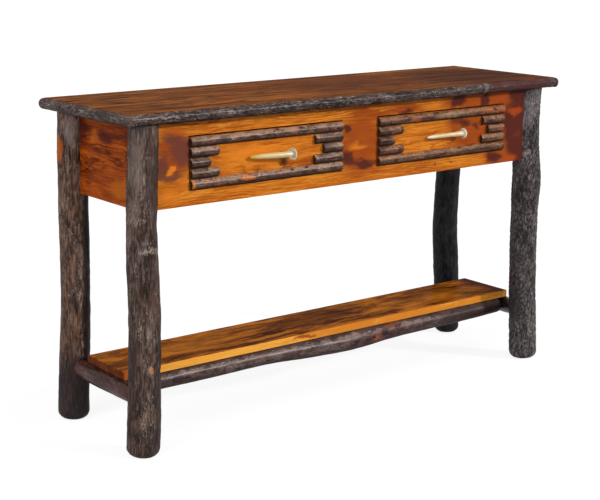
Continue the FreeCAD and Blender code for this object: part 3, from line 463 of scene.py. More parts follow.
# share of the length, then bow to the back, drop below the shelf and girth, as shares of the girth
pole_stations = {
    "front": (-1, (
        (0.000, 0.00, -0.97, 0.97), (0.07, 0.02, -1.00, 1.00), (0.16, 0.05, -1.02, 1.02),
        (0.32, 0.00, -0.98, 0.98), (0.42, -0.08, -1.12, 1.12), (0.55, -0.14, -1.24, 1.24),
        (0.68, -0.06, -1.08, 1.08), (0.84, 0.02, -1.07, 1.07), (0.94, 0.00, -1.02, 1.02),
        (1.000, 0.00, -0.97, 0.97))),
    "rear": (1, (
        (0.000, 0.00, -0.97, 0.97), (0.20, 0.08, -1.03, 1.03), (0.40, 0.12, -1.00, 1.00),
        (0.60, -0.05, -1.05, 1.05), (0.80, -0.10, -1.00, 1.00), (1.000, 0.00, -0.97, 0.97))),
}
pole_patches = {
    "front": (
        # dark at the right end of the front pole, and painted shadow along its top under the shelf's edge
        ((46, 31, 31), 0.8, 0.1, (0.48, -0.09, 0.135, 0.15, 0.03, 0.03, 1.3),
         (0.0, -0.09, 0.1535, 4.0, 0.03, 0.0075, 1.4)),
        ((140, 126, 122), 0.6, 0.8, (-0.324, -0.093, 0.138, 0.012, 0.02, 0.018, 1.2),
         (-0.315, -0.093, 0.128, 0.012, 0.02, 0.012, 0.9)),
        ((150, 76, 46), 0.8, 1.0, (0.128, -0.1, 0.126, 0.026, 0.02, 0.016, 1.4),
         (0.19, -0.095, 0.147, 0.045, 0.02, 0.009, 1.2)),
        ((206, 110, 52), 0.8, 0.8, (0.122, -0.1, 0.125, 0.01, 0.02, 0.006, 1.2)),
        ((34, 18, 18), 0.9, 0.1, (0.152, -0.1, 0.136, 0.014, 0.02, 0.012, 1.1),
         (0.114, -0.1, 0.129, 0.007, 0.02, 0.005, 1.3), (0.2, -0.095, 0.143, 0.012, 0.02, 0.005, 1.2)),
    ),
}
for name, (side, stations) in pole_stations.items():
    line = [(2 * pole_half * (at - 0.5), side * pole_behind + pole_girth * bow,
             shelf_foot + flat + pole_girth * drop, pole_girth * girth) for at, bow, drop, girth in stations]
    # The poles' upper sides are painted pale as a highlight and their undersides dark as shade.
    bark = bark_finish("pole_bark_" + name, dark=(50, 32, 31), middle=(84, 61, 58), light=(160, 136, 128),
                       fleck=(190, 174, 166), flecks=0.35, rough=0.38, streaky=0.28, furrows=0.2, grey=0.25,
                       shine=0.2, drawn=0.14, painted_light_and_shade=0.65, patches=pole_patches.get(name, ()))
    pole = grow_log("shelf_pole_log_" + name, line, bark, sapling_end, sides=56, step=0.003,
                    low_end_round=0.005, high_end_round=0.005, lump_size=0.06, lump_height=0.0016,
                    furrow_width=0.007, furrow_stretch=0.1, furrow_depth=0.0004, seed=20.0 + side,
                    saw_place=(0, 0, shelf_foot), knot_place=(-0.322, -0.0925, 0.137), knot_size=0.009)
    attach(pole, "table")
    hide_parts("shelf_pole_" + name)


# Edge strips: half-round hickory with the bark on, sawn flat behind and glued round the board top.
# The side strips run the full depth with rounded ends; the front and rear ones fit between them.
strip_girth, strip_deep = 0.013, 0.012
strip_set_in, strip_set_down = 0.0009, 0.0003
top_long, top_deep, top_high = 1.303, 0.398, 0.762
front_strip_patches = (
    ((76, 42, 39), 0.9, 0.1, (0.51, -0.193, 0.749, 0.118, 0.03, 0.03, 1.5)),
    ((168, 156, 150), 0.6, 0.8, (0.386, -0.197, 0.75, 0.007, 0.02, 0.02, 1.2)),
    ((48, 38, 38), 0.7, 0.1, (-0.19, -0.197, 0.748, 0.008, 0.02, 0.01, 1.1),
     (0.376, -0.197, 0.752, 0.005, 0.02, 0.008, 1.0)),
)
strip_looks = dict(dark=(44, 31, 30), middle=(82, 64, 59), light=(140, 124, 118), fleck=(204, 190, 178),
                   flecks=0.9, streaky=0.75, grey=0.45, drawn=0.16)
strip_sides = {"front": (0, -1), "rear": (0, 1), "left": (-1, 0), "right": (1, 0)}
for number, (name, (side_x, side_y)) in enumerate(strip_sides.items()):
    height = top_high - strip_girth - strip_set_down
    if side_y:
        shares = ((0.00, 0.97), (0.22, 1.00), (0.45, 0.98), (0.70, 1.00), (1.00, 0.96))
        length, end_round = top_long - 2 * strip_deep, 0.001
        axis_y = side_y * (top_deep / 2 - strip_set_in - strip_girth)
        line = [(length * (at - 0.5), axis_y, height, strip_girth * girth) for at, girth in shares]
        saw_place = (0, side_y * (top_deep / 2 - strip_deep), 0)
    else:
        shares = ((0.00, 0.97), (0.30, 1.00), (0.65, 0.98), (1.00, 0.97))
        length, end_round = top_deep - 2 * strip_set_in, 0.006
        axis_x = side_x * (top_long / 2 - strip_set_in - strip_girth)
        line = [(axis_x, length * (at - 0.5), height, strip_girth * girth) for at, girth in shares]
        saw_place = (side_x * (top_long / 2 - strip_deep), 0, 0)
    patches = front_strip_patches if name == "front" else ()
    bark = bark_finish("edge_bark_" + name, patches=patches, **strip_looks)
    strip = grow_log("edge_log_" + name, line, bark, bark, sides=44, step=0.0025, low_end_round=end_round,
                     high_end_round=end_round, lump_size=0.03, lump_height=0.0014, furrow_width=0.0045,
                     furrow_stretch=0.22, furrow_depth=0.0010, seed=30.0 + number, saw_place=saw_place,
                     saw_side=(-side_x, -side_y, 0), knot_place=(-0.190, -0.199, 0.747), knot_size=0.007)
    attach(strip, "table")
    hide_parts("edge_strip_" + name)


# Board top and shelf: glued-up hickory boards, stained brown and varnished. The top is screwed from
# the cleats below, and the shelf from the poles.

def drawn_out(run, share):
    """The scale that draws a pattern out along the grain's run."""
    return tuple(share if axis == run else 1.0 for axis in "xyz")


def board_finish(name, pale, deep, fibre, run, figure=30.0, heart=(0.0, 0.02, 0.0), lines=0.55,
                 shine=0.07, blotch=0.10, dark_fields=(), edges=(), stains_and_shadow=(), soft=0.6, ragged=0.9):
    """Stained and varnished boards: growth rings drawn out along the run, fibres, and dark heartwood.
    A dark field is a colour, a threshold, a strength, how far it is drawn out, its fineness and a
    shift. An edge is an axis, where it starts and ends, a colour and a strength; edges darken the
    shelf's ends, paint the shelf's front face bright as a painted highlight, and paint shade into the
    drawer gaps. A patch of stain is a colour, a strength, and then its spots; on the front one of them
    is a painted shadow."""
    made, shader = new_finish(name, gloss=0.0, coat=shine, coat_roughness=0.14)
    place = object_place(shader)
    bent = astray(stretched(place, drawn_out(run, 0.04), heart), 0.09,
                  stretched(place, drawn_out(run, 0.3)), 10.0, 3.0)
    rings = flow("ShaderNodeTexWave", {"Vector": bent, "Scale": figure, "Distortion": 2.5, "Detail": 3.0,
                                       "Detail Scale": 6.0}, "Fac", wave_type="RINGS",
                 wave_profile="SAW", rings_direction=run.upper())
    fields = noise(stretched(place, drawn_out(run, blotch)), 20.0, 6.0, 0.7, 0.6)
    colour = blend(ramp(fields, 0.36, 0.64), deep, pale)
    faded = noise(stretched(place, drawn_out(run, 0.2), (0.7, 0.1, 0.3)), 24.0)
    shown = ramp(faded, 0.30, 0.62, lines)
    colour = blend(ramp(rings, 0.35, 1.0, shown), colour, fibre)
    fibres = noise(stretched(place, drawn_out(run, 0.045)), 420.0, 4.0, 0.75)
    colour = blend(ramp(fibres, 0.48, 0.68, 0.6), colour, fibre)
    between = minus(1.0, ramp(fibres, 0.32, 0.47))
    colour = blend(times(between, 0.5), colour, [min(255, 1.2 * tone) for tone in pale])
    for field_colour, threshold, strength, drawn, per_metre, shift in dark_fields:
        dark = noise(stretched(place, drawn_out(run, drawn), shift), per_metre, 6.0, 0.7, 0.8)
        colour = blend(ramp(dark, threshold, threshold + 0.08, strength), colour, field_colour)
    for axis, start, end, edge_colour, strength in edges:
        along = flow("ShaderNodeSeparateXYZ", {0: place}, axis)
        shade = minus(ramp(along, start, end, strength), ramp(fibres, 0.45, 0.75, 0.35))
        colour = blend(sums("MAXIMUM", shade, 0.0), colour, edge_colour)
    for stain_and_shadow_colour, strength, *where in stains_and_shadow:
        mask = spots(place, where, ragged, drawn_out(run, 0.5), 26.0, wander=0.06, soft=soft)
        colour = blend(times(mask, strength), colour, stain_and_shadow_colour)
    feed(shader, "Roughness", plus(times(fibres, 0.2), 0.3))
    dress(shader, colour, fibres, 0.4, 0.0004)
    return made


def finish_nodes(finish, *names):
    for name in names:
        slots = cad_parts[name].data.materials
        slots.clear()
        slots.append(finish)


top_smoke = (
    ((36, 18, 12), 0.85, (-0.56, -0.01, 0.762, 0.05, 0.008, 0.02, 1.4)),
    ((92, 46, 20), 0.6, (-0.5, -0.13, 0.762, 0.1, 0.05, 0.05, 1.0),
     (-0.1, -0.16, 0.762, 0.3, 0.03, 0.05, 0.8), (0.1, 0.17, 0.762, 0.5, 0.03, 0.05, 0.8)),
    ((86, 43, 22), 0.7, (0.1, 0.02, 0.762, 0.34, 0.25, 0.05, 1.2)),
    ((58, 28, 20), 0.75, (0.48, -0.06, 0.762, 0.22, 0.24, 0.05, 1.4)),
)
finish_nodes(board_finish(
    "top_stain", (160, 92, 36), (104, 56, 24), (54, 26, 12), "x", lines=0.75, shine=0.035, blotch=0.14,
    dark_fields=(((50, 25, 15), 0.53, 0.75, 0.08, 42.0, (0, 0.4, 0)),
                 ((190, 116, 48), 0.55, 0.5, 0.07, 50.0, (0, 1.4, 0))),
    soft=1.0, stains_and_shadow=top_smoke), "tabletop")
shelf_smoke = (
    ((74, 34, 18), 0.7, (-0.01, 0.01, 0.17, 0.17, 0.055, 0.05, 1.1)),
    ((206, 124, 38), 0.4, (-0.42, 0.0, 0.17, 0.2, 0.06, 0.05, 0.8),
     (0.44, -0.01, 0.17, 0.13, 0.05, 0.05, 0.9)),
    ((202, 114, 32), 0.75, (0.24, -0.0875, 0.163, 0.4, 0.022, 0.03, 1.2)),
    ((58, 24, 16), 0.8, (-0.151, -0.035, 0.17, 0.04, 0.016, 0.05, 1.0),
     (0.02, -0.04, 0.17, 0.05, 0.02, 0.05, 0.9), (0.2, -0.055, 0.17, 0.06, 0.016, 0.05, 0.9),
     (0.1, 0.03, 0.17, 0.1, 0.04, 0.05, 0.7)),
    ((150, 66, 26), 0.85, (-0.1, -0.086, 0.163, 0.045, 0.004, 0.007, 1.1),
     (-0.605, -0.083, 0.163, 0.03, 0.006, 0.02, 1.6)),
)
# The second edge paints the shelf's front face bright as a painted highlight; the other edges darken the
# ends.
finish_nodes(board_finish(
    "shelf_stain", (200, 116, 30), (112, 56, 17), (62, 28, 12), "x", lines=0.6, shine=0.04, blotch=0.2,
    dark_fields=(((64, 30, 16), 0.51, 0.8, 0.19, 26.0, (0, 0.9, 0)),
                 ((214, 130, 38), 0.56, 0.5, 0.2, 30.0, (0, 2.9, 0))),
    edges=((0, 0.530, 0.592, (66, 30, 27), 0.95), (1, -0.0815, -0.0825, (246, 172, 70), 0.95),
           (0, 0.588, 0.600, (92, 44, 30), 0.7), (0, -0.6035, -0.6045, (84, 36, 24), 0.85)),
    stains_and_shadow=shelf_smoke), "shelf")


# Aprons, face frame and drawer fronts: hickory boards stained a warm orange, with dark heartwood
# patches. The grain runs on over the rails, the stiles and the drawer fronts as over one board.
front_y = -0.165


def on_front(*places):
    """Soft spots on the front, each an x, a z, a reach along, a reach up and a strength."""
    return [(x, front_y, z, along, 0.03, high, strength) for x, z, along, high, strength in places]


red_smoke = on_front(
    (-0.515, 0.668, 0.065, 0.060, 1.3), (0.0, 0.640, 0.070, 0.085, 1.2), (0.152, 0.718, 0.06, 0.014, 1.0),
    (0.43, 0.716, 0.16, 0.020, 1.4), (0.535, 0.640, 0.09, 0.14, 1.9), (-0.156, 0.616, 0.035, 0.016, 0.8),
    (0.385, 0.640, 0.09, 0.05, 1.1), (0.349, 0.668, 0.06, 0.024, 0.9), (0.48, 0.566, 0.07, 0.018, 1.3),
    (-0.298, 0.608, 0.05, 0.010, 0.9), (0.041, 0.712, 0.06, 0.010, 0.9), (0.28, 0.63, 0.45, 0.3, 0.55))
# maroon heartwood patches, and at x -0.222 below the left pull's crown, its painted shadow
maroon_stain_and_pull_shadow = on_front(
    (-0.041, 0.676, 0.014, 0.012, 1.6), (-0.037, 0.607, 0.022, 0.022, 1.5), (0.012, 0.590, 0.034, 0.014, 1.6),
    (0.152, 0.712, 0.030, 0.008, 1.2), (0.319, 0.716, 0.026, 0.016, 1.6), (0.410, 0.716, 0.020, 0.018, 1.6),
    (0.540, 0.722, 0.05, 0.016, 1.5), (0.565, 0.630, 0.055, 0.11, 2.0), (0.508, 0.640, 0.035, 0.06, 1.5),
    (0.449, 0.567, 0.034, 0.016, 1.7), (0.556, 0.562, 0.024, 0.03, 1.3), (0.350, 0.664, 0.024, 0.014, 1.4),
    (0.385, 0.655, 0.014, 0.020, 1.1), (0.315, 0.676, 0.05, 0.008, 1.0), (0.375, 0.608, 0.03, 0.006, 0.9),
    (-0.222, 0.6205, 0.014, 0.010, 1.7), (-0.300, 0.608, 0.020, 0.006, 1.0))
dusk_smoke = on_front(
    (-0.496, 0.669, 0.036, 0.036, 1.7), (-0.522, 0.618, 0.042, 0.012, 1.3), (-0.548, 0.64, 0.014, 0.03, 1.4),
    (-0.530, 0.700, 0.030, 0.014, 0.9), (-0.022, 0.650, 0.02, 0.03, 0.6))
bright_smoke = on_front(
    (-0.527, 0.634, 0.009, 0.008, 1.8), (-0.007, 0.633, 0.036, 0.012, 1.2), (0.231, 0.719, 0.05, 0.010, 1.1),
    (-0.335, 0.656, 0.07, 0.022, 1.4), (-0.26, 0.634, 0.11, 0.022, 1.1), (-0.54, 0.575, 0.05, 0.016, 1.0),
    (0.20, 0.66, 0.06, 0.014, 0.9), (0.405, 0.612, 0.02, 0.008, 0.8))
ember_smoke = on_front(
    (0.524, 0.680, 0.030, 0.013, 1.5), (0.512, 0.561, 0.024, 0.012, 1.5), (0.375, 0.716, 0.022, 0.009, 1.3),
    (0.467, 0.716, 0.032, 0.010, 1.4), (-0.513, 0.714, 0.04, 0.012, 1.0), (0.53, 0.62, 0.02, 0.01, 0.6))
knot_smoke = on_front((0.240, 0.565, 0.006, 0.004, 1.5), (0.291, 0.565, 0.007, 0.005, 1.5),
                      (-0.509, 0.629, 0.006, 0.006, 1.1))
# The edge darkens the faces set back behind the front, inside the drawer gaps, as painted shade.
front_looks = dict(
    pale=(228, 138, 40), deep=(192, 102, 24), fibre=(122, 52, 12), run="x", lines=0.65, figure=44.0,
    soft=1.1, ragged=0.55, shine=0.12, edges=((1, -0.1645, -0.1638, (50, 22, 12), 0.97),),
    dark_fields=(((156, 70, 16), 0.56, 0.5, 0.10, 40.0, (0, 0, 0.3)),
                 ((244, 164, 64), 0.57, 0.4, 0.10, 36.0, (0, 0, 1.3))),
    stains_and_shadow=(((148, 60, 17), 0.85, *red_smoke), ((76, 31, 28), 0.9, *maroon_stain_and_pull_shadow),
           ((100, 56, 48), 0.85, *dusk_smoke), ((226, 130, 36), 0.8, *bright_smoke),
           ((176, 72, 22), 0.75, *ember_smoke), ((112, 52, 22), 0.8, *knot_smoke)))
finish_nodes(board_finish("drawer_stain", heart=(0, 0.12, -0.625), **front_looks), "drawer_left_front",
             "drawer_right_front")
finish_nodes(board_finish("front_stain", **front_looks), "face_rail_top", "face_rail_bottom",
             "face_stile_left", "face_stile_centre", "face_stile_right")
side_smoke = (
    ((72, 28, 28), 0.85, (-0.6, 0.09, 0.7, 0.03, 0.05, 0.05, 0.9),
     (-0.6, -0.02, 0.69, 0.03, 0.04, 0.02, 0.8)),
    ((204, 110, 26), 0.5, (-0.6, -0.08, 0.59, 0.03, 0.06, 0.03, 0.9),
     (-0.6, 0.03, 0.69, 0.03, 0.02, 0.02, 0.8)),
)
finish_nodes(board_finish(
    "side_stain", (180, 84, 20), (124, 50, 14), (64, 24, 10), "y", lines=0.9, figure=46.0,
    heart=(0, 0, -0.655), dark_fields=(((80, 32, 20), 0.55, 0.75, 0.3, 20.0, (0, 0, 0.3)),),
    stains_and_shadow=side_smoke), "apron_left", "apron_right")
finish_nodes(board_finish(
    "rear_stain", (206, 112, 30), (160, 76, 20), (100, 42, 14), "x",
    dark_fields=(((96, 40, 20), 0.58, 0.6, 0.12, 24.0, (0, 0, 0.7)),)), "apron_rear")


# Drawer twigs: thin hickory shoots, split in half and fixed flat on each drawer front in five rows.
# The top and the bottom one are whole, and the ends between are short, the middle row's the shortest.
twig_rows, front_low, front_high = 5, 0.5834, 0.7001
drawer_aside, drawer_half, twig_proud, twig_gap = 0.2666, 0.2105, 0.011, 0.0003
twig_pitch = (front_high - front_low) / twig_rows
twig_girth = twig_pitch / 2 - twig_gap
# the twigs at the left and the right end of the rows between, from the top down
long_end, short_end = 0.075, 0.052
twig_lengths = {
    "left": ((long_end * 0.96, long_end * 1.07), (short_end * 0.94, short_end * 1.08),
             (long_end * 0.95, long_end * 1.10)),
    "right": ((long_end, long_end * 1.01), (short_end * 0.93, short_end * 1.09),
              (long_end * 1.02, long_end * 1.05)),
}
twig_patches = {
    "left": (
        ((42, 28, 27), 0.75, 0.35, (-0.455, -0.17, 0.64, 0.028, 0.03, 0.032, 1.2),
         (-0.105, -0.17, 0.65, 0.032, 0.03, 0.036, 1.1), (-0.4, -0.17, 0.69, 0.02, 0.03, 0.006, 0.9),
         (-0.24, -0.17, 0.59, 0.12, 0.03, 0.008, 0.8)),
        ((208, 116, 44), 0.9, 0.4, (-0.328, -0.17, 0.5965, 0.022, 0.03, 0.006, 1.4)),
        ((206, 120, 40), 0.85, 0.2, (-0.474, -0.174, 0.593, 0.007, 0.03, 0.01, 1.3)),
        ((164, 104, 80), 0.7, 0.5, (-0.2, -0.172, 0.69, 0.014, 0.03, 0.005, 1.2)),
    ),
    "right": (
        ((46, 26, 24), 0.75, 0.2, (0.066, -0.17, 0.645, 0.03, 0.03, 0.04, 1.1),
         (0.4, -0.17, 0.598, 0.05, 0.03, 0.008, 0.8), (0.235, -0.17, 0.694, 0.016, 0.03, 0.006, 1.0),
         (0.42, -0.17, 0.655, 0.01, 0.03, 0.01, 0.9)),
        ((176, 98, 40), 0.8, 0.8, (0.43, -0.17, 0.69, 0.044, 0.03, 0.009, 1.2)),
        ((172, 88, 34), 0.8, 0.6, (0.168, -0.17, 0.686, 0.024, 0.03, 0.007, 1.3)),
        ((40, 22, 20), 0.8, 0.1, (0.148, -0.172, 0.69, 0.008, 0.03, 0.006, 1.2),
         (0.44, -0.172, 0.692, 0.007, 0.03, 0.005, 1.2)),
        ((170, 146, 108), 0.6, 0.6, (0.29, -0.172, 0.69, 0.07, 0.03, 0.006, 1.2)),
        ((196, 88, 42), 0.75, 0.6, (0.466, -0.174, 0.642, 0.007, 0.03, 0.007, 1.3),
         (0.472, -0.174, 0.69, 0.006, 0.03, 0.008, 1.1)),
    ),
}
# The twigs' upper sides are painted pale as a highlight and their undersides dark as shade.
twig_looks = {
    "left": dict(dark=(50, 30, 25), middle=(112, 72, 54), light=(184, 148, 124), fleck=(210, 190, 176),
                 flecks=0.5, streaky=0.3, grey=0.25, mottle=44.0, painted_light_and_shade=0.85),
    "right": dict(dark=(48, 28, 24), middle=(116, 72, 48), light=(178, 130, 96), fleck=(210, 192, 170),
                  flecks=0.6, streaky=0.35, grey=0.25, mottle=50.0, painted_light_and_shade=0.75),
}
twig_end = end_grain("twig_end", (66, 40, 28), (24, 15, 13))


def join_pieces(name, pieces):
    """Puts several pieces of one kind into one mesh."""
    with bpy.context.temp_override(active_object=pieces[0], selected_editable_objects=pieces):
        if len(pieces) > 1:
            bpy.ops.object.join()
    pieces[0].name = name
    pieces[0].data.name = name
    return pieces[0]


for side, (name, lengths) in zip((-1, 1), twig_lengths.items()):
    drawer = "drawer_" + name
    low_x, high_x = side * drawer_aside - drawer_half, side * drawer_aside + drawer_half
    bark = bark_finish(drawer + "_twig_bark", **twig_looks[name], rough=0.36, furrows=0.4, shine=0.25,
                       drawn=0.3, patches=twig_patches[name])
    spans = {"twig_top": [(0, low_x, high_x)], "twig_bottom": [(twig_rows - 1, low_x, high_x)],
             "twigs_left": [(row, low_x, low_x + long) for row, (long, _) in enumerate(lengths, start=1)],
             "twigs_right": [(row, high_x - long, high_x) for row, (_, long) in enumerate(lengths, start=1)]}
    for node_name, rows in spans.items():
        made = []
        for row, start, end in rows:
            axis_y, axis_z = front_y - twig_proud + twig_girth, front_high - twig_pitch * (row + 0.5)
            line = [(start + (end - start) * at, axis_y, axis_z, twig_girth * girth)
                    for at, girth in ((0.0, 1.0), (0.3, 1.0), (0.6, 1.02), (1.0, 0.99))]
            made.append(grow_log(
                "twig_%s_%s_%d" % (name, node_name, row), line, bark, twig_end, sides=32, step=0.0025,
                low_end_round=0.0008, high_end_round=0.0008, lump_size=0.02, lump_height=0.0009,
                furrow_width=0.005, furrow_stretch=0.14, furrow_depth=0.0005,
                seed=50.0 + side * 10 + row + 3 * start, saw_place=(0, front_y, 0), saw_side=(0, 1, 0)))
        twig = join_pieces("%s_%s_bark" % (drawer, node_name), made)
        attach(twig, drawer)
        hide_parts("%s_%s" % (drawer, node_name))


# Pulls: shed antler tines, each on a short blackened steel post. A machine screw from inside the
# drawer goes through the post into the tine.

def antler_finish(name, tip, shaft, crown, tip_x, crown_x):
    """Antler: its colour turns from the tip to the crown, with fine lines along it and grey pits."""
    made, shader = new_finish(name, 0.35, gloss=0.4, coat=0.15, coat_roughness=0.15)
    place = object_place(shader)
    along = flow("ShaderNodeSeparateXYZ", {0: place})
    share = flow("ShaderNodeMapRange", {0: along, 1: tip_x, 2: crown_x})
    colour = blend(ramp(share, 0.0, 0.35), tip, shaft)
    colour = blend(ramp(share, 0.82, 0.93), colour, crown)
    lines = noise(stretched(place, (0.08, 1, 1)), 520.0, 3.0, 0.6)
    colour = blend(ramp(lines, 0.5, 0.72, 0.3), colour, (150, 122, 78))
    pits = noise(place, 620.0, 2.0, 0.7)
    flare = minus(ramp(share, 0.88, 0.91), ramp(share, 0.935, 0.95))
    dirty = ramp(pits, 0.40, 0.60, flare)
    colour = blend(times(dirty, 0.75), colour, (92, 84, 76))
    dress(shader, colour, lines, 0.5, 0.0005)
    return made


def bead_tree():
    """A ring of small round beads across the tine, which is the rim of its crown."""
    tree, given = new_tree("crown_beads", "Beads", (
        ("Seat", "Geometry"), ("Middle", "Vector"), ("Ring Girth", "Float"), ("Bead Girth", "Float"),
        ("Count", "Int"), ("Seed", "Int"), ("Antler", "Material")))
    ring = flow("GeometryNodeMeshCircle", {"Vertices": given["Count"], "Radius": given["Ring Girth"]})
    quarter_turn = (0, 1.5708, 0)
    ring = flow("GeometryNodeTransform", {"Geometry": ring, "Translation": given["Middle"],
                                          "Rotation": quarter_turn})
    bead = flow("GeometryNodeMeshUVSphere", {"Segments": 8, "Rings": 5, "Radius": given["Bead Girth"]})
    size = flow("FunctionNodeRandomValue", {2: 0.75, 3: 1.2, "Seed": given["Seed"]}, 1)
    beads = flow("GeometryNodeInstanceOnPoints", {"Points": ring, "Instance": bead, "Scale": size})
    beads = flow("GeometryNodeSetShadeSmooth", {"Geometry": beads})
    beads = flow("GeometryNodeRealizeInstances", {"Geometry": beads})
    beads = flow("GeometryNodeSetMaterial", {"Geometry": beads, "Material": given["Antler"]})
    add(tree, "NodeGroupOutput", {0: beads})
    return tree


CROWN_BEADS = bead_tree()
pull_long, pull_girth, pull_out = 0.116, 0.009, 0.0195
bead_girth, bead_ahead, bead_count = 0.0011, 0.0012, 20
pull_high = (front_low + front_high) / 2
# share of the length from the tip to the flared crown, then stand-off, rise and girth
pull_shares = {
    "left": ((0.00, 0.50, 0.06, 0.14), (0.08, 0.56, 0.05, 0.50), (0.28, 0.70, 0.03, 0.68),
             (0.55, 0.90, 0.00, 0.78), (0.92, 1.00, -0.10, 0.90), (0.95, 1.00, -0.12, 1.48),
             (1.00, 1.00, -0.13, 1.42)),
    "right": ((0.00, 0.48, -0.28, 0.16), (0.10, 0.54, -0.24, 0.46), (0.30, 0.70, -0.14, 0.57),
              (0.65, 0.94, -0.02, 0.64), (0.92, 1.00, 0.00, 0.88), (0.95, 1.00, 0.00, 1.35),
              (1.00, 1.00, 0.00, 1.28)),
}
pull_colours = {"left": ((200, 160, 46), (208, 184, 130), (222, 210, 182)),
                "right": ((230, 222, 200), (214, 190, 142), (222, 208, 180))}
for side, (name, shares) in zip((-1, 1), pull_shares.items()):
    tip_x = side * drawer_aside - pull_long / 2
    antler = antler_finish("antler_" + name, *pull_colours[name], tip_x, tip_x + pull_long)
    line = [(tip_x + pull_long * at, front_y - pull_out * off, pull_high + pull_girth * rise,
             pull_girth * girth) for at, off, rise, girth in shares]
    tine = grow_log("antler_tine_" + name, line, antler, antler, sides=40, step=0.0012,
                    low_end_round=0.0008, high_end_round=0.003, lump_size=0.008, lump_height=0.0007,
                    furrow_width=0.0025, furrow_stretch=0.08, furrow_depth=0.0003, seed=70.0 + side)
    crown_x, crown_y, crown_z, crown_girth = line[-2]
    beads = grow("crown_beads_" + name, bpy.data.meshes.new("seat"), CROWN_BEADS, {
        "Middle": (crown_x + bead_ahead, crown_y, crown_z), "Ring Girth": crown_girth * 0.99,
        "Bead Girth": bead_girth, "Count": bead_count, "Seed": 7 + side, "Antler": antler})
    tine = join_pieces("antler_tine_" + name, [tine, beads])
    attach(tine, "drawer_" + name)
    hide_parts("pull_" + name)


def metal_finish(name, rough, metallic, dark, bright, cloud, spread, relief):
    """Metal with a fine cloudy wear: how fine it is, how far it spreads, and how deep it is."""
    made, shader = new_finish(name, rough)
    shader.inputs["Metallic"].default_value = metallic
    wear = noise(object_place(shader), *cloud)
    dress(shader, blend(ramp(wear, *spread), dark, bright), wear, *relief)
    return made


finish_nodes(metal_finish("post_steel", 0.35, 0.8, (34, 34, 42), (66, 66, 76), (500.0, 3.0, 0.6),
                          (0.45, 0.7), (0.3, 0.0002)), "pull_left_post", "pull_right_post")


# Inside work: drawer sides, backs and bottoms, runners, kickers, cleats and stops, all of plain
# pale wood without stain, planed and left bare.

def plain_finish(name, pale, deep, run):
    """Planed bare wood with faint grain and pores."""
    made, shader = new_finish(name, 0.62)
    place = object_place(shader)
    grain = noise(stretched(place, drawn_out(run, 0.06)), 90.0, 4.0, 0.6, 0.3)
    colour = blend(ramp(grain, 0.35, 0.65), deep, pale)
    pores = noise(stretched(place, drawn_out(run, 0.03)), 800.0)
    colour = blend(ramp(pores, 0.55, 0.72, 0.25), colour, (132, 96, 58))
    dress(shader, colour, pores, 0.3, 0.0004)
    return made


finish_nodes(
    plain_finish("bare_wood_deep", (206, 172, 122), (182, 142, 92), "y"),
    "runner_left_outer", "runner_left_inner", "runner_right_outer", "runner_right_inner", "kicker_left",
    "kicker_right", "top_cleat_left", "top_cleat_right", "drawer_stops", "drawer_left_side_left",
    "drawer_left_side_right", "drawer_right_side_left", "drawer_right_side_right")
finish_nodes(
    plain_finish("bare_wood_wide", (210, 178, 128), (188, 150, 98), "x"),
    "drawer_left_back", "drawer_right_back", "drawer_left_bottom", "drawer_right_bottom")


# Screws: zinc-plated wood screws up through the cleats, kickers, stretchers and poles, and the
# machine screws of the pulls.
finish_nodes(metal_finish("zinc_plate", 0.32, 1.0, (150, 148, 140), (186, 186, 182), (900.0,),
                          (0.4, 0.65), (0.2, 0.0001)),
             "top_screws", "shelf_screws", "pull_left_screw", "pull_right_screw")


# Studio: a white floor that runs past the picture, soft light from the front and the left, and the
# camera where the picture was taken from.

def seen_rays(tree):
    """One where the background is seen, also in gloss and glass, and nothing where it gives light."""
    rays = add(tree, "ShaderNodeLightPath").outputs
    mirrored = sums("MAXIMUM", rays["Is Glossy Ray"], rays["Is Transmission Ray"])
    return sums("MAXIMUM", rays["Is Camera Ray"], mirrored)


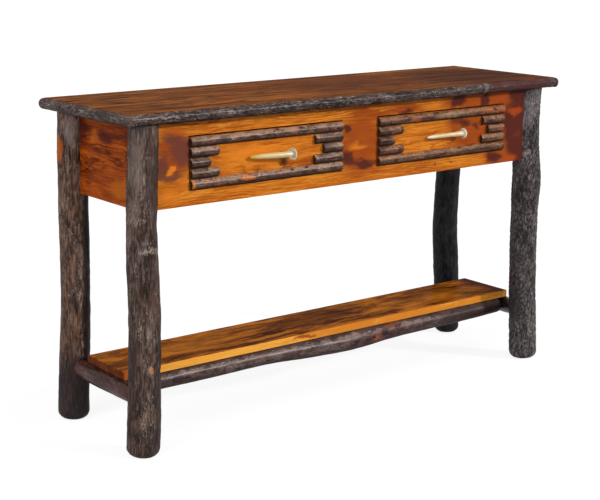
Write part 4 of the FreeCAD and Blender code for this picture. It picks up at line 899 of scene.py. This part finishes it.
floor_reach = 14
floor_mesh = bpy.data.meshes.new("studio_floor")
floor_mesh.from_pydata([(-floor_reach, -floor_reach, 0), (floor_reach, -floor_reach, 0),
                        (floor_reach, floor_reach, 0), (-floor_reach, floor_reach, 0)], [], [(0, 1, 2, 3)])
floor = new_object("studio_floor", floor_mesh)
floor_paint, shader = new_finish("floor_paint", 0.9, gloss=0.0)
shader.inputs["Base Color"].default_value = (0.22, 0.22, 0.22, 1)
shader.inputs["Emission Color"].default_value = (1, 1, 1, 1)
feed(shader, "Emission Strength", times(seen_rays(shader.id_data), 0.86))
floor_mesh.materials.append(floor_paint)

world = bpy.data.worlds.new("studio")
bpy.context.scene.world = world
world.use_nodes = True
tree = world.node_tree
tree.nodes.clear()
facing = add(tree, "ShaderNodeTexCoord").outputs["Generated"]
brightest = Vector((-0.70, -0.50, 0.55)).normalized()
soft = ramp(vectors("DOT_PRODUCT", facing, brightest), -0.8, 1.0)
strength = flow("ShaderNodeMapRange", {0: soft, 3: 0.05, 4: 0.86})
lit = flow("ShaderNodeBackground", {"Color": (1, 1, 1, 1), "Strength": strength})
white = add(tree, "ShaderNodeBackground", {"Color": (1, 1, 1, 1), "Strength": 1.0}).outputs[0]
mixed = flow("ShaderNodeMixShader", {0: seen_rays(tree), 1: lit, 2: white})
add(tree, "ShaderNodeOutputWorld", {0: mixed})


def sun(name, strength, spread, towards):
    lamp = bpy.data.lights.new(name, "SUN")
    lamp.energy = strength
    lamp.angle = spread
    new_object(name, lamp).rotation_euler = Vector(towards).to_track_quat("-Z", "Y").to_euler()


sun("front_light", 1.95, 0.08, (-0.7, 1.0, -0.5))
sun("left_light", 1.1, 0.8, (1.0, 0.35, -0.35))

lens = bpy.data.cameras.new("camera")
lens.sensor_width = 36.0
lens.lens = 83.08
lens.clip_end = 60.0
camera = new_object("camera", lens)
# the camera's own right, up and back, and its place, from the straight edges in the picture
right = Vector((0.79241776, -0.60996683, 0.00381582))
up = Vector((0.13574792, 0.1824442, 0.97380009))
back = Vector((-0.59468193, -0.7711385, 0.22737376))
turned = Matrix((right, up, back)).transposed().to_4x4()
turned.translation = Vector((-2.090786, -2.647478, 1.140995))
camera.matrix_world = turned
bpy.context.scene.camera = camera
bpy.context.scene.view_settings.view_transform = "Standard"
